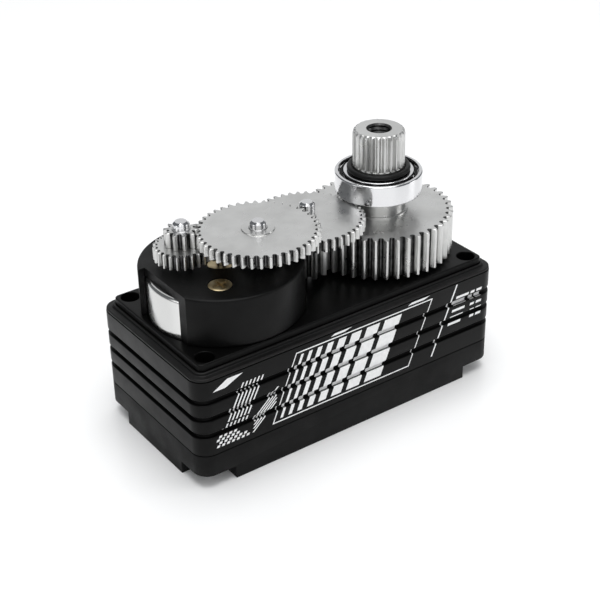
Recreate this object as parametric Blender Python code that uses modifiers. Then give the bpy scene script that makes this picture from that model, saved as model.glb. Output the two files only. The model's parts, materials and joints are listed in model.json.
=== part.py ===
"""Low-profile digital hobby servo with its top case lifted off.

Frame: origin at the centre of the underside, +X towards the output shaft, +Z up.
Every size and height below is in millimetres; the shape builders turn them into metres.
Heights marked ABOVE count from the flat top of the middle case, all others from the underside.
"""

import math

import bmesh
import bpy
from mathutils import Matrix

MM = 0.001
MERGE = 1e-6
FLAT_ANGLE = math.radians(0.5)
SHARP_ANGLE = math.radians(30)
OVERSHOOT = 1.0  # how far a cutter runs past the face it cuts
OVERLAP = 0.5  # how far joined shapes run into each other

# Case
CASE_LENGTH = 40.8
CASE_WIDTH = 20.2
CORNER_RADIUS = 1.8
LEAST_CORNER = 0.4
DECK = 14.9
DECK_INSET = 1.15
DECK_THICKNESS = 1.6
LEDGE = DECK - 1.5
SEAM = 4.25
SEAM_GAP = 0.12
WALL = 1.6
FLOOR = 1.2
POST = 5.3
FOOT_NOTCH = 4.3
FOOT_NOTCH_HEIGHT = 1.55
SCREW_HOLE_RADIUS = 1.05
SCREW_INSET_X = 2.6
SCREW_INSET_Y = 2.4
GROOVE_BELOW_DECK = (3.99, 6.06, 8.15)
GROOVE_HEIGHT = 0.6
GROOVE_DEPTH = 0.45

# Seals
TOP_GASKET_THICKNESS = 0.36
TOP_GASKET_BEAD = 0.34
TOP_GASKET_BEAD_WIDTH = 0.41
TOP_GASKET_SET_BACK = 0.05
BOTTOM_GASKET_WIDTH = 0.7
BOTTOM_GASKET_THICKNESS = 0.5
BOTTOM_GASKET_HOLE_GAP = 0.1
GAP = 0.03

# Axes of the gear train, in plan
OUTPUT_AXIS = (10.95, 0.0)
MOTOR_AXIS = (-10.5, 0.0)
THIRD_OFF_CENTRE = -0.5
SECOND_DIRECTION = math.radians(197.0)

# Gears: driver teeth, driven teeth and module of each mesh, motor first
FIRST_MESH = (9, 24, 0.25)
SECOND_MESH = (10, 42, 0.31)
THIRD_MESH = (15, 42, 0.30)
LAST_MESH = (10, 42, 0.40)
PRESSURE_ANGLE = math.radians(25)
ADDENDUM = 0.85
DEDENDUM = 1.1
PINION_SHIFT = 0.3
BACKLASH = 0.035
RUNNING_FIT = 0.03
PIN_RADIUS = 0.88
PIN_CHAMFER = 0.25
PIN_SEAT_GAP = 0.1

# Heights of the gear train ABOVE the deck
HOLDER_ABOVE = 5.7
CAN_ABOVE = 4.7
MOTOR_PINION_ABOVE = (6.0, 8.05)
FIRST_GEAR_ABOVE = (6.6, 8.2)
FIRST_PINION_ABOVE = 10.0
FIRST_PIN_ABOVE = 10.9
SECOND_PINION_ABOVE = 6.15
SECOND_GEAR_ABOVE = (8.4, 9.7)
SECOND_PIN_ABOVE = 10.65
THIRD_PINION_ABOVE = 0.8
THIRD_GEAR_ABOVE = (6.25, 7.55)
THIRD_PIN_ABOVE = 9.4
OUTPUT_GEAR_ABOVE = (0.5, 5.4)
BEARING_ABOVE = (7.7, 10.2)
SPLINE_ABOVE = (10.9, 15.15)

# Output shaft
HUB_RADIUS = 3.15
JOURNAL_RADIUS = 2.98
COLLAR_RADIUS = 2.9
SPLINE_TEETH = 25
SPLINE_RADIUS = 2.96
SPLINE_ROOT_RADIUS = 2.66
SPLINE_ROOT_SHARE = 0.4  # half of the tooth at its root, as a share of the pitch
SPLINE_TIP_SHARE = 0.15
CROWN_RADIUS = 2.5
CROWN_HEIGHT = 0.5
CROWN_OVERHANG = 0.1
SPLINE_SUNK = 0.3
HUB_SUNK = 1.0
COLLAR_GAP = 0.05
THREAD_RADIUS = 1.25
THREAD_DEPTH = 6.5
THREAD_MOUTH_RADIUS = 1.45
LOWER_JOURNAL_RADIUS = 2.5
LOWER_JOURNAL_BELOW = 2.7

# Ball bearing on the output shaft
BEARING_BORE = 3.0
INNER_RING_RADIUS = 4.0
OUTER_RING_BORE = 4.6
BEARING_RADIUS = 5.0
BEARING_CHAMFER = 0.15
BALL_COUNT = 9
BALL_RADIUS = 0.55
RACE_DEPTH = 0.3
CAGE_THICKNESS = 0.3
CAGE_SIDE_GAP = 0.15
SEAL_RADII = (2.95, 3.65)
SEAL_HEIGHT = 0.6

# Lower bearing, pressed into the deck
LOWER_BEARING_RADIUS = 4.0
LOWER_BEARING_BELOW = (2.35, -0.15)
LOWER_INNER_RADIUS = 2.95
LOWER_OUTER_BORE = 3.45
LOWER_CAGE_SIDE_GAP = 0.1
LOWER_CAGE_END_GAP = 0.4
BEARING_BOSS_RADIUS = 5.3
BEARING_BOSS_BELOW = 3.3

# Motor
CAN_RADIUS = 8.25
CAN_WALL = 0.4
CAN_EDGE = 0.45
CAN_BOTTOM = 4.4
CAN_GAP = 0.1
WELL_GAP = 0.2
CAN_FRONT_BORE = 1.6
HOLDER_RADIUS = 9.0
HOLDER_BORE = 8.33
HOLDER_NOSE_HOLE = 2.2
HOLDER_RELIEF = 3.0
WINDOW_X = -18.05
WINDOW_Y = (-4.95, 3.3)
MOTOR_SCREW_AT = (-13.62, -4.61)
MOTOR_SCREW_RADIUS = 1.3
MOTOR_SCREW_LENGTH = 0.75
MOTOR_SCREW_PROUD = 0.05
PHILLIPS_ARM = 0.75
PHILLIPS_WIDTH = 0.34
PHILLIPS_DEPTH = 0.4
MAGNET_RADIUS = 5.9
MAGNET_BORE = 1.5
MAGNET_HEIGHTS = (7.4, 17.9)
COIL_RADII = (6.3, 7.3)
COIL_HEIGHTS = (6.2, 18.2)
MOTOR_SHAFT_RADIUS = 0.5
MOTOR_SHAFT_BOTTOM = 4.5
MOTOR_SHAFT_PROUD = 0.1
FRONT_BUSH_LENGTH = 1.6
FRONT_BUSH_PROUD = 0.4
COIL_FLOOR = 0.7
COMMUTATOR_LENGTH = 1.2
COMMUTATOR_RADIUS = 1.3
END_CAP_BOTTOM = 2.7
END_CAP_LIP = 0.5
TERMINAL_SPACING = 4.5
TERMINAL_HALF_WIDTH = 0.8
TERMINAL_HALF_THICKNESS = 0.2
TERMINAL_GAP = 0.4

# Electronics and the cable's way in
BOARD_X = (-1.6, 14.7)
BOARD_HALF_WIDTH = 7.9
BOARD_HEIGHTS = (4.5, 5.3)
POT_RADIUS = 4.6
POT_HEIGHTS = (5.35, 9.2)
POT_SHAFT_RADIUS = 1.0
POT_SHAFT_TOP = 13.9
POT_SOCKET_RADIUS = 1.12
POT_SOCKET_GAP = 0.3
POT_FLOOR = 1.0
POT_BORE_GAP = 0.09
INLET_WIDTH = 4.8
INLET_HEIGHTS = (1.5, 3.5)
INLET_SLOT = (3.6, 1.0)
GROMMET_LENGTH = 2.0
GROMMET_SET_BACK = 0.1
CONTROLLER_CHIP = ((0.4, 5.4), (-6.9, -1.9), 1.0)  # extent along X and Y, and height
DRIVER_CHIP_LEFT = ((0.4, 4.4), (1.4, 5.2), 1.2)
DRIVER_CHIP_RIGHT = ((2.0, 6.0), (-2.0, 2.0), 1.2)
CAPACITOR = ((8.0, 11.4), (-6.0, -3.2), 1.8)
SOLDER_GAP = 0.05

LARGE_STEPS = 36
MEDIUM_STEPS = 20
SMALL_STEPS = 12
CORNER_STEPS = 4
SEAL_STEPS = 8

STEEL = ("steel", (0.78, 0.78, 0.77), 0.28, 1.0)
CHROME = ("polished_steel", (0.86, 0.86, 0.87), 0.1, 1.0)
NICKEL = ("nickel_can", (0.85, 0.85, 0.84), 0.2, 1.0)
BRASS = ("brass", (0.72, 0.6, 0.35), 0.35, 1.0)
ANODISED = ("black_anodised", (0.012, 0.012, 0.013), 0.35, 0.6)
BLACK_PLASTIC = ("black_plastic", (0.02, 0.02, 0.02), 0.45, 0.0)
RUBBER = ("black_rubber", (0.015, 0.015, 0.015), 0.6, 0.0)
MAGNET = ("magnet", (0.3, 0.3, 0.32), 0.4, 1.0)
COPPER = ("copper", (0.75, 0.36, 0.2), 0.35, 1.0)
BOARD = ("green_board", (0.02, 0.16, 0.07), 0.5, 0.0)
CHIP = ("chip_black", (0.02, 0.02, 0.02), 0.5, 0.0)
POT_PLASTIC = ("pot_plastic", (0.08, 0.12, 0.3), 0.5, 0.0)


def clear_scene():
    for thing in list(bpy.data.objects):
        bpy.data.objects.remove(thing, do_unlink=True)


def new_collection(name):
    made = bpy.data.collections.new(name)
    bpy.context.scene.collection.children.link(made)
    return made


def material(look):
    name, colour, roughness, metallic = look
    if name in bpy.data.materials:
        return bpy.data.materials[name]
    made = bpy.data.materials.new(name)
    made.use_nodes = True
    shader = made.node_tree.nodes["Principled BSDF"]
    shader.inputs["Base Color"].default_value = (*colour, 1.0)
    shader.inputs["Roughness"].default_value = roughness
    shader.inputs["Metallic"].default_value = metallic
    return made


# Outlines and profiles, in millimetres


def on_circle(centre, radius, angle):
    return (centre[0] + radius * math.cos(angle), centre[1] + radius * math.sin(angle))


def circle(centre, radius, steps):
    return [on_circle(centre, radius, math.tau * i / steps) for i in range(steps)]


def rectangle(x, y):
    return [(x[0], y[0]), (x[1], y[0]), (x[1], y[1]), (x[0], y[1])]


def case_outline(inset):
    """The case's rounded rectangle, moved in by inset."""
    radius = max(CORNER_RADIUS - inset, LEAST_CORNER)
    reach_x = CASE_LENGTH / 2 - inset - radius
    reach_y = CASE_WIDTH / 2 - inset - radius
    corners = ((reach_x, reach_y, 0), (-reach_x, reach_y, 1), (-reach_x, -reach_y, 2), (reach_x, -reach_y, 3))
    return [
        on_circle((x, y), radius, (quarter + i / CORNER_STEPS) * math.pi / 2)
        for x, y, quarter in corners
        for i in range(CORNER_STEPS + 1)
    ]


def screw_posts():
    x = CASE_LENGTH / 2 - SCREW_INSET_X
    y = CASE_WIDTH / 2 - SCREW_INSET_Y
    return [(sx * x, sy * y) for sx in (-1, 1) for sy in (-1, 1)]


def involute(angle):
    return math.tan(angle) - angle


def gear_outline(teeth, module, shift, centre, phase):
    """One gear's teeth, the first of them centred on the angle phase, with involute flanks."""
    pitch_radius = teeth * module / 2
    base_radius = pitch_radius * math.cos(PRESSURE_ANGLE)
    tip_radius = pitch_radius + module * (ADDENDUM + shift)
    root_radius = pitch_radius - module * (DEDENDUM - shift)
    at_pitch = (math.pi / 2 + 2 * shift * math.tan(PRESSURE_ANGLE)) / teeth - BACKLASH / (2 * pitch_radius)

    def half_tooth(radius):
        pressure = math.acos(base_radius / max(radius, base_radius))
        return at_pitch + involute(PRESSURE_ANGLE) - involute(pressure)

    start = max(root_radius, base_radius)
    rise = [start + (tip_radius - start) * part for part in (0.0, 0.5, 1.0)]
    if root_radius < base_radius:
        rise.insert(0, root_radius)
    points = []
    for tooth in range(teeth):
        middle = phase + math.tau * tooth / teeth
        points += [on_circle(centre, radius, middle - half_tooth(radius)) for radius in rise]
        points += [on_circle(centre, radius, middle + half_tooth(radius)) for radius in rise[::-1]]
    return points


def spline_outline():
    """The 25 small vee teeth that a servo horn presses onto."""
    points = []
    pitch = math.tau / SPLINE_TEETH
    for tooth in range(SPLINE_TEETH):
        middle = pitch * tooth
        for radius, share in (
            (SPLINE_ROOT_RADIUS, -SPLINE_ROOT_SHARE),
            (SPLINE_RADIUS, -SPLINE_TIP_SHARE),
            (SPLINE_RADIUS, SPLINE_TIP_SHARE),
            (SPLINE_ROOT_RADIUS, SPLINE_ROOT_SHARE),
        ):
            points.append(on_circle(OUTPUT_AXIS, radius, middle + pitch * share))
    return points


# Layout of the gear train


def centre_distance(mesh):
    driver, driven, module = mesh
    return (driver + driven) * module / 2


def circles_meet(a, radius_a, b, radius_b):
    """Where two circles cross, on the left of the way from a to b."""
    gap = math.dist(a, b)
    along = (radius_a**2 - radius_b**2 + gap**2) / (2 * gap)
    aside = math.sqrt(radius_a**2 - along**2)
    way = ((b[0] - a[0]) / gap, (b[1] - a[1]) / gap)
    return (a[0] + along * way[0] - aside * way[1], a[1] + along * way[1] + aside * way[0])


def third_axis():
    reach = math.sqrt(centre_distance(LAST_MESH) ** 2 - THIRD_OFF_CENTRE**2)
    return (OUTPUT_AXIS[0] - reach, THIRD_OFF_CENTRE)


THIRD_AXIS = third_axis()
SECOND_AXIS = on_circle(THIRD_AXIS, centre_distance(THIRD_MESH), SECOND_DIRECTION)
FIRST_AXIS = circles_meet(SECOND_AXIS, centre_distance(SECOND_MESH), MOTOR_AXIS, centre_distance(FIRST_MESH))


def driven_phase(driver_axis, driver_phase, driven_axis, mesh):
    """The driven gear's angle that puts its gap on the driver's tooth."""
    driver_teeth, driven_teeth, _ = mesh
    way = math.atan2(driven_axis[1] - driver_axis[1], driven_axis[0] - driver_axis[0])
    driver_part = (way - driver_phase) * driver_teeth / math.tau
    return way + math.pi - (0.5 - driver_part) * math.tau / driven_teeth


FIRST_PHASE = driven_phase(MOTOR_AXIS, 0.0, FIRST_AXIS, FIRST_MESH)
SECOND_PHASE = driven_phase(FIRST_AXIS, FIRST_PHASE, SECOND_AXIS, SECOND_MESH)
THIRD_PHASE = driven_phase(SECOND_AXIS, SECOND_PHASE, THIRD_AXIS, THIRD_MESH)
OUTPUT_PHASE = driven_phase(THIRD_AXIS, THIRD_PHASE, OUTPUT_AXIS, LAST_MESH)


# Shape builders


def link(mesh, name, collection, look):
    mesh.materials.clear()
    mesh.materials.append(material(look))
    mesh.shade_smooth()
    mesh.set_sharp_from_angle(angle=SHARP_ANGLE)
    made = bpy.data.objects.new(name, mesh)
    collection.objects.link(made)
    return made


def hide_as_cutter(thing):
    thing.hide_render = True
    thing.display_type = "WIRE"
    return thing


def flat_solid(name, outlines, bottom, top, look=None):
    """A flat outline, with any holes in it, raised from bottom to top. Without a look it is a cutter."""
    curve = bpy.data.curves.new(name, "CURVE")
    curve.dimensions = "2D"
    curve.fill_mode = "BOTH"
    curve.extrude = (top - bottom) / 2
    for outline in outlines:
        spline = curve.splines.new("POLY")
        spline.points.add(len(outline) - 1)
        spline.use_cyclic_u = True
        for point, (x, y) in zip(spline.points, outline):
            point.co = (x, y, 0.0, 1.0)
    flat = bpy.data.objects.new(name, curve)
    bpy.context.scene.collection.objects.link(flat)
    bpy.context.view_layer.update()
    mesh = bpy.data.meshes.new_from_object(flat.evaluated_get(bpy.context.evaluated_depsgraph_get()))
    bpy.data.objects.remove(flat, do_unlink=True)
    mesh.transform(Matrix.Scale(MM, 4) @ Matrix.Translation((0, 0, (top + bottom) / 2)))
    shape = bmesh.new()
    shape.from_mesh(mesh)
    bmesh.ops.remove_doubles(shape, verts=shape.verts, dist=MERGE)
    bmesh.ops.dissolve_limit(shape, angle_limit=FLAT_ANGLE, verts=shape.verts, edges=shape.edges)
    bmesh.ops.recalc_face_normals(shape, faces=shape.faces)
    shape.to_mesh(mesh)
    shape.free()
    if look is None:
        return hide_as_cutter(link(mesh, name, CUTTERS, BLACK_PLASTIC))
    return link(mesh, name, PARTS, look)


def turned(name, profile, axis, steps, look=None, ring=False):
    """A profile of (radius, height) points, down its outer side, turned about an upright axis."""
    mesh = bpy.data.meshes.new(name)
    corners = [(radius * MM, 0.0, height * MM) for radius, height in profile]
    edges = [(i, i + 1) for i in range(len(corners) - 1)]
    if ring:
        edges.append((len(corners) - 1, 0))
    mesh.from_pydata(corners, edges, [])
    if look is None:
        made = hide_as_cutter(link(mesh, name, CUTTERS, BLACK_PLASTIC))
    else:
        made = link(mesh, name, PARTS, look)
    made.location = (axis[0] * MM, axis[1] * MM, 0.0)
    screw = made.modifiers.new("turn", "SCREW")
    screw.steps = steps
    screw.render_steps = steps
    screw.use_merge_vertices = True
    screw.merge_threshold = MERGE
    return made


def disc(name, axis, radius, bottom, top, steps, look=None):
    profile = [(0.0, top), (radius, top), (radius, bottom), (0.0, bottom)]
    return turned(name, profile, axis, steps, look)


def ring(name, axis, radii, bottom, top, steps, look=None):
    inner, outer = radii
    profile = [(inner, top), (outer, top), (outer, bottom), (inner, bottom)]
    return turned(name, profile, axis, steps, look, ring=True)


def combine(base, other, operation):
    change = base.modifiers.new(operation.lower(), "BOOLEAN")
    change.operation = operation
    change.solver = "EXACT"
    change.object = other


def cut(base, *cutters):
    for cutter in cutters:
        combine(base, cutter, "DIFFERENCE")


def join(base, *others):
    for other in others:
        combine(base, other, "UNION")


# Case


def cut_pocket(base, bottom, top):
    """The hollow inside the walls: two crossing boxes, which leave a post for a screw in each corner."""
    x = CASE_LENGTH / 2
    y = CASE_WIDTH / 2
    for way, reach_x, reach_y in (("long", x - WALL, y - POST), ("wide", x - POST, y - WALL)):
        box = rectangle((-reach_x, reach_x), (-reach_y, reach_y))
        cut(base, flat_solid(f"{base.name}_{way}_pocket", [box], bottom, top))


def bottom_cover():
    rim = SEAM - SEAM_GAP
    cover = flat_solid("bottom_cover", [case_outline(0.0)], 0.0, rim, BLACK_PLASTIC)
    above = SEAM + OVERSHOOT
    cut_pocket(cover, FLOOR, above)
    well = CAN_RADIUS + WELL_GAP
    cut(cover, disc("cover_motor_well", MOTOR_AXIS, well, END_CAP_BOTTOM - WELL_GAP, above, LARGE_STEPS))
    x = CASE_LENGTH / 2
    y = CASE_WIDTH / 2
    for number, (px, py) in enumerate(screw_posts()):
        side_x = math.copysign(1, px)
        side_y = math.copysign(1, py)
        notch_x = sorted((side_x * (x - FOOT_NOTCH), side_x * (x + OVERSHOOT)))
        notch_y = sorted((side_y * (y - FOOT_NOTCH), side_y * (y + OVERSHOOT)))
        notch = [rectangle(notch_x, notch_y)]
        cut(cover, flat_solid(f"foot_notch_{number}", notch, -OVERSHOOT, FOOT_NOTCH_HEIGHT))
        low = FOOT_NOTCH_HEIGHT - OVERSHOOT
        cut(cover, disc(f"cover_screw_hole_{number}", (px, py), SCREW_HOLE_RADIUS, low, above, SMALL_STEPS))
    inner = WALL - BOTTOM_GASKET_WIDTH
    channel_floor = SEAM - BOTTOM_GASKET_THICKNESS
    cut(cover, flat_solid("gasket_channel", [case_outline(inner)], channel_floor, above))
    half = INLET_WIDTH / 2
    inlet = rectangle((x - WALL - OVERSHOOT, x + OVERSHOOT), (-half, half))
    cut(cover, flat_solid("cable_inlet", [inlet], *INLET_HEIGHTS))


def bottom_gasket():
    """A flat rubber seal in the cover's channel, with a hole over each screw post."""
    outer = case_outline(WALL - BOTTOM_GASKET_WIDTH + GAP)
    seal_bottom = SEAM - BOTTOM_GASKET_THICKNESS + GAP
    seal = flat_solid("bottom_gasket", [outer], seal_bottom, SEAM - GAP, RUBBER)
    below = seal_bottom - OVERSHOOT
    above = SEAM + OVERSHOOT
    cut_pocket(seal, below, above)
    cut(seal, disc("bottom_gasket_well", MOTOR_AXIS, CAN_RADIUS + WELL_GAP, below, above, LARGE_STEPS))
    for number, post in enumerate(screw_posts()):
        radius = SCREW_HOLE_RADIUS + BOTTOM_GASKET_HOLE_GAP
        cut(seal, disc(f"bottom_gasket_hole_{number}", post, radius, below, above, SMALL_STEPS))


def middle_case():
    case = flat_solid("middle_case", [case_outline(0.0)], SEAM, LEDGE, ANODISED)
    join(case, flat_solid("deck", [case_outline(DECK_INSET)], LEDGE - OVERLAP, DECK))
    roof = DECK - DECK_THICKNESS
    boss_bottom = DECK - BEARING_BOSS_BELOW
    below = SEAM - OVERSHOOT
    above = DECK + OVERSHOOT
    cut_pocket(case, below, roof)
    boss_top = roof + OVERLAP
    join(case, disc("bearing_boss", OUTPUT_AXIS, BEARING_BOSS_RADIUS, boss_bottom, boss_top, MEDIUM_STEPS))
    cut(case, disc("case_motor_well", MOTOR_AXIS, CAN_RADIUS + CAN_GAP, below, above, LARGE_STEPS))
    frame = [case_outline(-OVERSHOOT), case_outline(GROOVE_DEPTH)]
    for number, depth in enumerate(GROOVE_BELOW_DECK):
        middle = DECK - depth
        low = middle - GROOVE_HEIGHT / 2
        cut(case, flat_solid(f"cooling_groove_{number}", frame, low, low + GROOVE_HEIGHT))
    for number, post in enumerate(screw_posts()):
        cut(case, disc(f"case_screw_hole_{number}", post, SCREW_HOLE_RADIUS, below, above, SMALL_STEPS))
    seat = DECK - LOWER_BEARING_BELOW[0] - GAP
    cut(case, disc("lower_bearing_seat", OUTPUT_AXIS, LOWER_BEARING_RADIUS + GAP, seat, above, MEDIUM_STEPS))
    shaft_hole_bottom = boss_bottom - OVERSHOOT
    cut(case, disc("lower_shaft_hole", OUTPUT_AXIS, LOWER_OUTER_BORE, shaft_hole_bottom, DECK, MEDIUM_STEPS))
    cut(case, disc("third_pin_hole", THIRD_AXIS, PIN_RADIUS + GAP, roof - OVERSHOOT, above, SMALL_STEPS))


def top_gasket():
    """The rubber seal lying on the ledge round the deck, with a round bead along its inner edge."""
    bottom = LEDGE + GAP
    inside = case_outline(DECK_INSET - GAP)
    bead_top = bottom + TOP_GASKET_THICKNESS + TOP_GASKET_BEAD
    outside = case_outline(TOP_GASKET_SET_BACK)
    seal = flat_solid("top_gasket", [outside, inside], bottom, bottom + TOP_GASKET_THICKNESS, RUBBER)
    bead = [case_outline(DECK_INSET - GAP - TOP_GASKET_BEAD_WIDTH), inside]
    join(seal, flat_solid("gasket_bead", bead, bottom + TOP_GASKET_THICKNESS / 2, bead_top))


def cable_grommet():
    """The rubber gland in the end wall, with a slot for the flat three-wire lead."""
    outside = CASE_LENGTH / 2 - GROMMET_SET_BACK
    half = INLET_WIDTH / 2 - GAP
    block = rectangle((outside - GROMMET_LENGTH, outside), (-half, half))
    low, high = INLET_HEIGHTS
    gland = flat_solid("cable_grommet", [block], low + GAP, high - GAP, RUBBER)
    width, height = INLET_SLOT
    middle = (low + high) / 2
    slot = rectangle((outside - GROMMET_LENGTH - OVERSHOOT, outside + OVERSHOOT), (-width / 2, width / 2))
    cut(gland, flat_solid("lead_slot", [slot], middle - height / 2, middle + height / 2))


# Motor and its holder


def motor_holder():
    top = DECK + HOLDER_ABOVE
    can_top = DECK + CAN_ABOVE
    bottom = DECK + GAP
    holder = disc("motor_holder", MOTOR_AXIS, HOLDER_RADIUS, bottom, top, LARGE_STEPS, BLACK_PLASTIC)
    below = bottom - OVERSHOOT
    inside = can_top - OVERSHOOT
    above = top + OVERSHOOT
    cut(holder, disc("holder_bore", MOTOR_AXIS, HOLDER_BORE, below, can_top + GAP, LARGE_STEPS))
    cut(holder, disc("holder_nose_hole", MOTOR_AXIS, HOLDER_NOSE_HOLE, inside, above, MEDIUM_STEPS))
    cut(holder, disc("holder_relief", THIRD_AXIS, HOLDER_RELIEF, below, above, MEDIUM_STEPS))
    window = rectangle((MOTOR_AXIS[0] - HOLDER_RADIUS - OVERSHOOT, WINDOW_X), WINDOW_Y)
    cut(holder, flat_solid("holder_window", [window], below, above))
    for name, axis in (("first", FIRST_AXIS), ("second", SECOND_AXIS)):
        cut(holder, disc(f"{name}_pin_hole", axis, PIN_RADIUS + GAP, inside, above, SMALL_STEPS))
    for number, place in enumerate(motor_screw_places()):
        radius = MOTOR_SCREW_RADIUS + GAP
        cut(holder, disc(f"motor_screw_hole_{number}", place, radius, inside, above, SMALL_STEPS))


def motor_screw_places():
    """Two screws, opposite each other about the motor's axis."""
    x, y = MOTOR_SCREW_AT
    return ((x, y), (2 * MOTOR_AXIS[0] - x, 2 * MOTOR_AXIS[1] - y))


def motor_screws():
    top = DECK + HOLDER_ABOVE + MOTOR_SCREW_PROUD
    for name, place in zip(("front", "rear"), motor_screw_places()):
        bottom = top - MOTOR_SCREW_LENGTH
        screw = disc(f"motor_screw_{name}", place, MOTOR_SCREW_RADIUS, bottom, top, MEDIUM_STEPS, BRASS)
        x, y = place
        arm = PHILLIPS_ARM
        half = PHILLIPS_WIDTH / 2
        along = [rectangle((x - arm, x + arm), (y - half, y + half))]
        across = [rectangle((x - half, x + half), (y - arm, y + arm))]
        cut(screw, flat_solid(f"{name}_slot_along", along, top - PHILLIPS_DEPTH, top + OVERSHOOT))
        cut(screw, flat_solid(f"{name}_slot_across", across, top - PHILLIPS_DEPTH, top + OVERSHOOT))


def motor_can():
    """A drawn cup with a rounded top edge, open at the bottom, with a hole for the front bush."""
    top = DECK + CAN_ABOVE
    edge = [
        (CAN_RADIUS - CAN_EDGE * (1 - math.sin(turn)), top - CAN_EDGE * (1 - math.cos(turn)))
        for turn in (math.pi / 2 * i / CORNER_STEPS for i in range(CORNER_STEPS + 1))
    ]
    inner = CAN_RADIUS - CAN_WALL
    inside = [(CAN_RADIUS, CAN_BOTTOM), (inner, CAN_BOTTOM), (inner, top - CAN_WALL)]
    profile = [(CAN_FRONT_BORE, top), *edge, *inside, (CAN_FRONT_BORE, top - CAN_WALL)]
    turned("motor_can", profile, MOTOR_AXIS, LARGE_STEPS, NICKEL, ring=True)


def motor_inside():
    can_top = DECK + CAN_ABOVE
    bush = (MOTOR_SHAFT_RADIUS + RUNNING_FIT, CAN_FRONT_BORE - GAP)
    bush_top = can_top + FRONT_BUSH_PROUD
    ring("motor_front_bush", MOTOR_AXIS, bush, bush_top - FRONT_BUSH_LENGTH, bush_top, SMALL_STEPS, BRASS)
    low, high = MAGNET_HEIGHTS
    ring("motor_magnet", MOTOR_AXIS, (MAGNET_BORE, MAGNET_RADIUS), low, high, MEDIUM_STEPS, MAGNET)
    inner, outer = COIL_RADII
    low, high = COIL_HEIGHTS
    bell = [(inner, high), (outer, high), (outer, low), (MOTOR_SHAFT_RADIUS + GAP, low)]
    bell += [(MOTOR_SHAFT_RADIUS + GAP, low + COIL_FLOOR), (inner, low + COIL_FLOOR)]
    turned("motor_coil", bell, MOTOR_AXIS, MEDIUM_STEPS, COPPER, ring=True)
    hub = (MOTOR_SHAFT_RADIUS + GAP, COMMUTATOR_RADIUS)
    commutator_bottom = low - COMMUTATOR_LENGTH
    ring("motor_commutator", MOTOR_AXIS, hub, commutator_bottom, low - GAP, SMALL_STEPS, COPPER)
    shaft_top = DECK + MOTOR_PINION_ABOVE[1] + MOTOR_SHAFT_PROUD
    disc("motor_shaft", MOTOR_AXIS, MOTOR_SHAFT_RADIUS, MOTOR_SHAFT_BOTTOM, shaft_top, SMALL_STEPS, STEEL)
    rear_bush = (MOTOR_SHAFT_RADIUS + RUNNING_FIT, COMMUTATOR_RADIUS)
    rear_top = commutator_bottom - 2 * GAP
    ring("motor_rear_bush", MOTOR_AXIS, rear_bush, CAN_BOTTOM + GAP, rear_top, SMALL_STEPS, BRASS)


def motor_end_cap():
    """The plastic plate that closes the can, with a raised seat for the rear bush."""
    inner = CAN_RADIUS - CAN_WALL - GAP
    seat = COMMUTATOR_RADIUS + GAP
    low = END_CAP_BOTTOM
    flange = CAN_BOTTOM - GAP
    lip = CAN_BOTTOM + END_CAP_LIP
    profile = [(0.0, flange), (seat, flange), (seat, lip), (inner, lip)]
    profile += [(inner, flange), (CAN_RADIUS, flange), (CAN_RADIUS, low), (0.0, low)]
    cap = turned("motor_end_cap", profile, MOTOR_AXIS, LARGE_STEPS, BLACK_PLASTIC)
    for side, name in ((-1, "left"), (1, "right")):
        y = side * TERMINAL_SPACING
        x = MOTOR_AXIS[0]
        wide = TERMINAL_HALF_WIDTH
        thick = TERMINAL_HALF_THICKNESS
        slot = rectangle((x - wide - GAP, x + wide + GAP), (y - thick - GAP, y + thick + GAP))
        cut(cap, flat_solid(f"terminal_slot_{name}", [slot], low - OVERSHOOT, lip + OVERSHOOT))
        blade = rectangle((x - wide, x + wide), (y - thick, y + thick))
        flat_solid(f"motor_terminal_{name}", [blade], low, CAN_BOTTOM + TERMINAL_GAP, BRASS)


def motor_pinion():
    teeth, _, module = FIRST_MESH
    low, high = MOTOR_PINION_ABOVE
    outline = gear_outline(teeth, module, PINION_SHIFT, MOTOR_AXIS, 0.0)
    bore = circle(MOTOR_AXIS, MOTOR_SHAFT_RADIUS + GAP, SMALL_STEPS)
    flat_solid("motor_pinion", [outline, bore], DECK + low, DECK + high, STEEL)


# Gear train


def compound_gear(name, axis, phase, gear, wheel_heights, pinion, pinion_heights):
    """A wheel and the pinion cut in one piece with it, bored to run on a fixed pin."""
    _, wheel_teeth, wheel_module = gear
    pinion_teeth, _, pinion_module = pinion
    wheel = gear_outline(wheel_teeth, wheel_module, -PINION_SHIFT, axis, phase)
    small = gear_outline(pinion_teeth, pinion_module, PINION_SHIFT, axis, phase)
    made = flat_solid(name, [wheel], DECK + wheel_heights[0], DECK + wheel_heights[1], STEEL)
    join(made, flat_solid(f"{name}_small_teeth", [small], DECK + pinion_heights[0], DECK + pinion_heights[1]))
    low = DECK + min(wheel_heights[0], pinion_heights[0]) - OVERSHOOT
    high = DECK + max(wheel_heights[1], pinion_heights[1]) + OVERSHOOT
    cut(made, disc(f"{name}_bore", axis, PIN_RADIUS + RUNNING_FIT, low, high, MEDIUM_STEPS))


def gear_pin(name, axis, bottom, top):
    """A fixed steel pin with a chamfered end."""
    edge = PIN_RADIUS - PIN_CHAMFER
    profile = [(0.0, top), (edge, top), (PIN_RADIUS, top - PIN_CHAMFER), (PIN_RADIUS, bottom), (0.0, bottom)]
    turned(name, profile, axis, MEDIUM_STEPS, CHROME)


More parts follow.
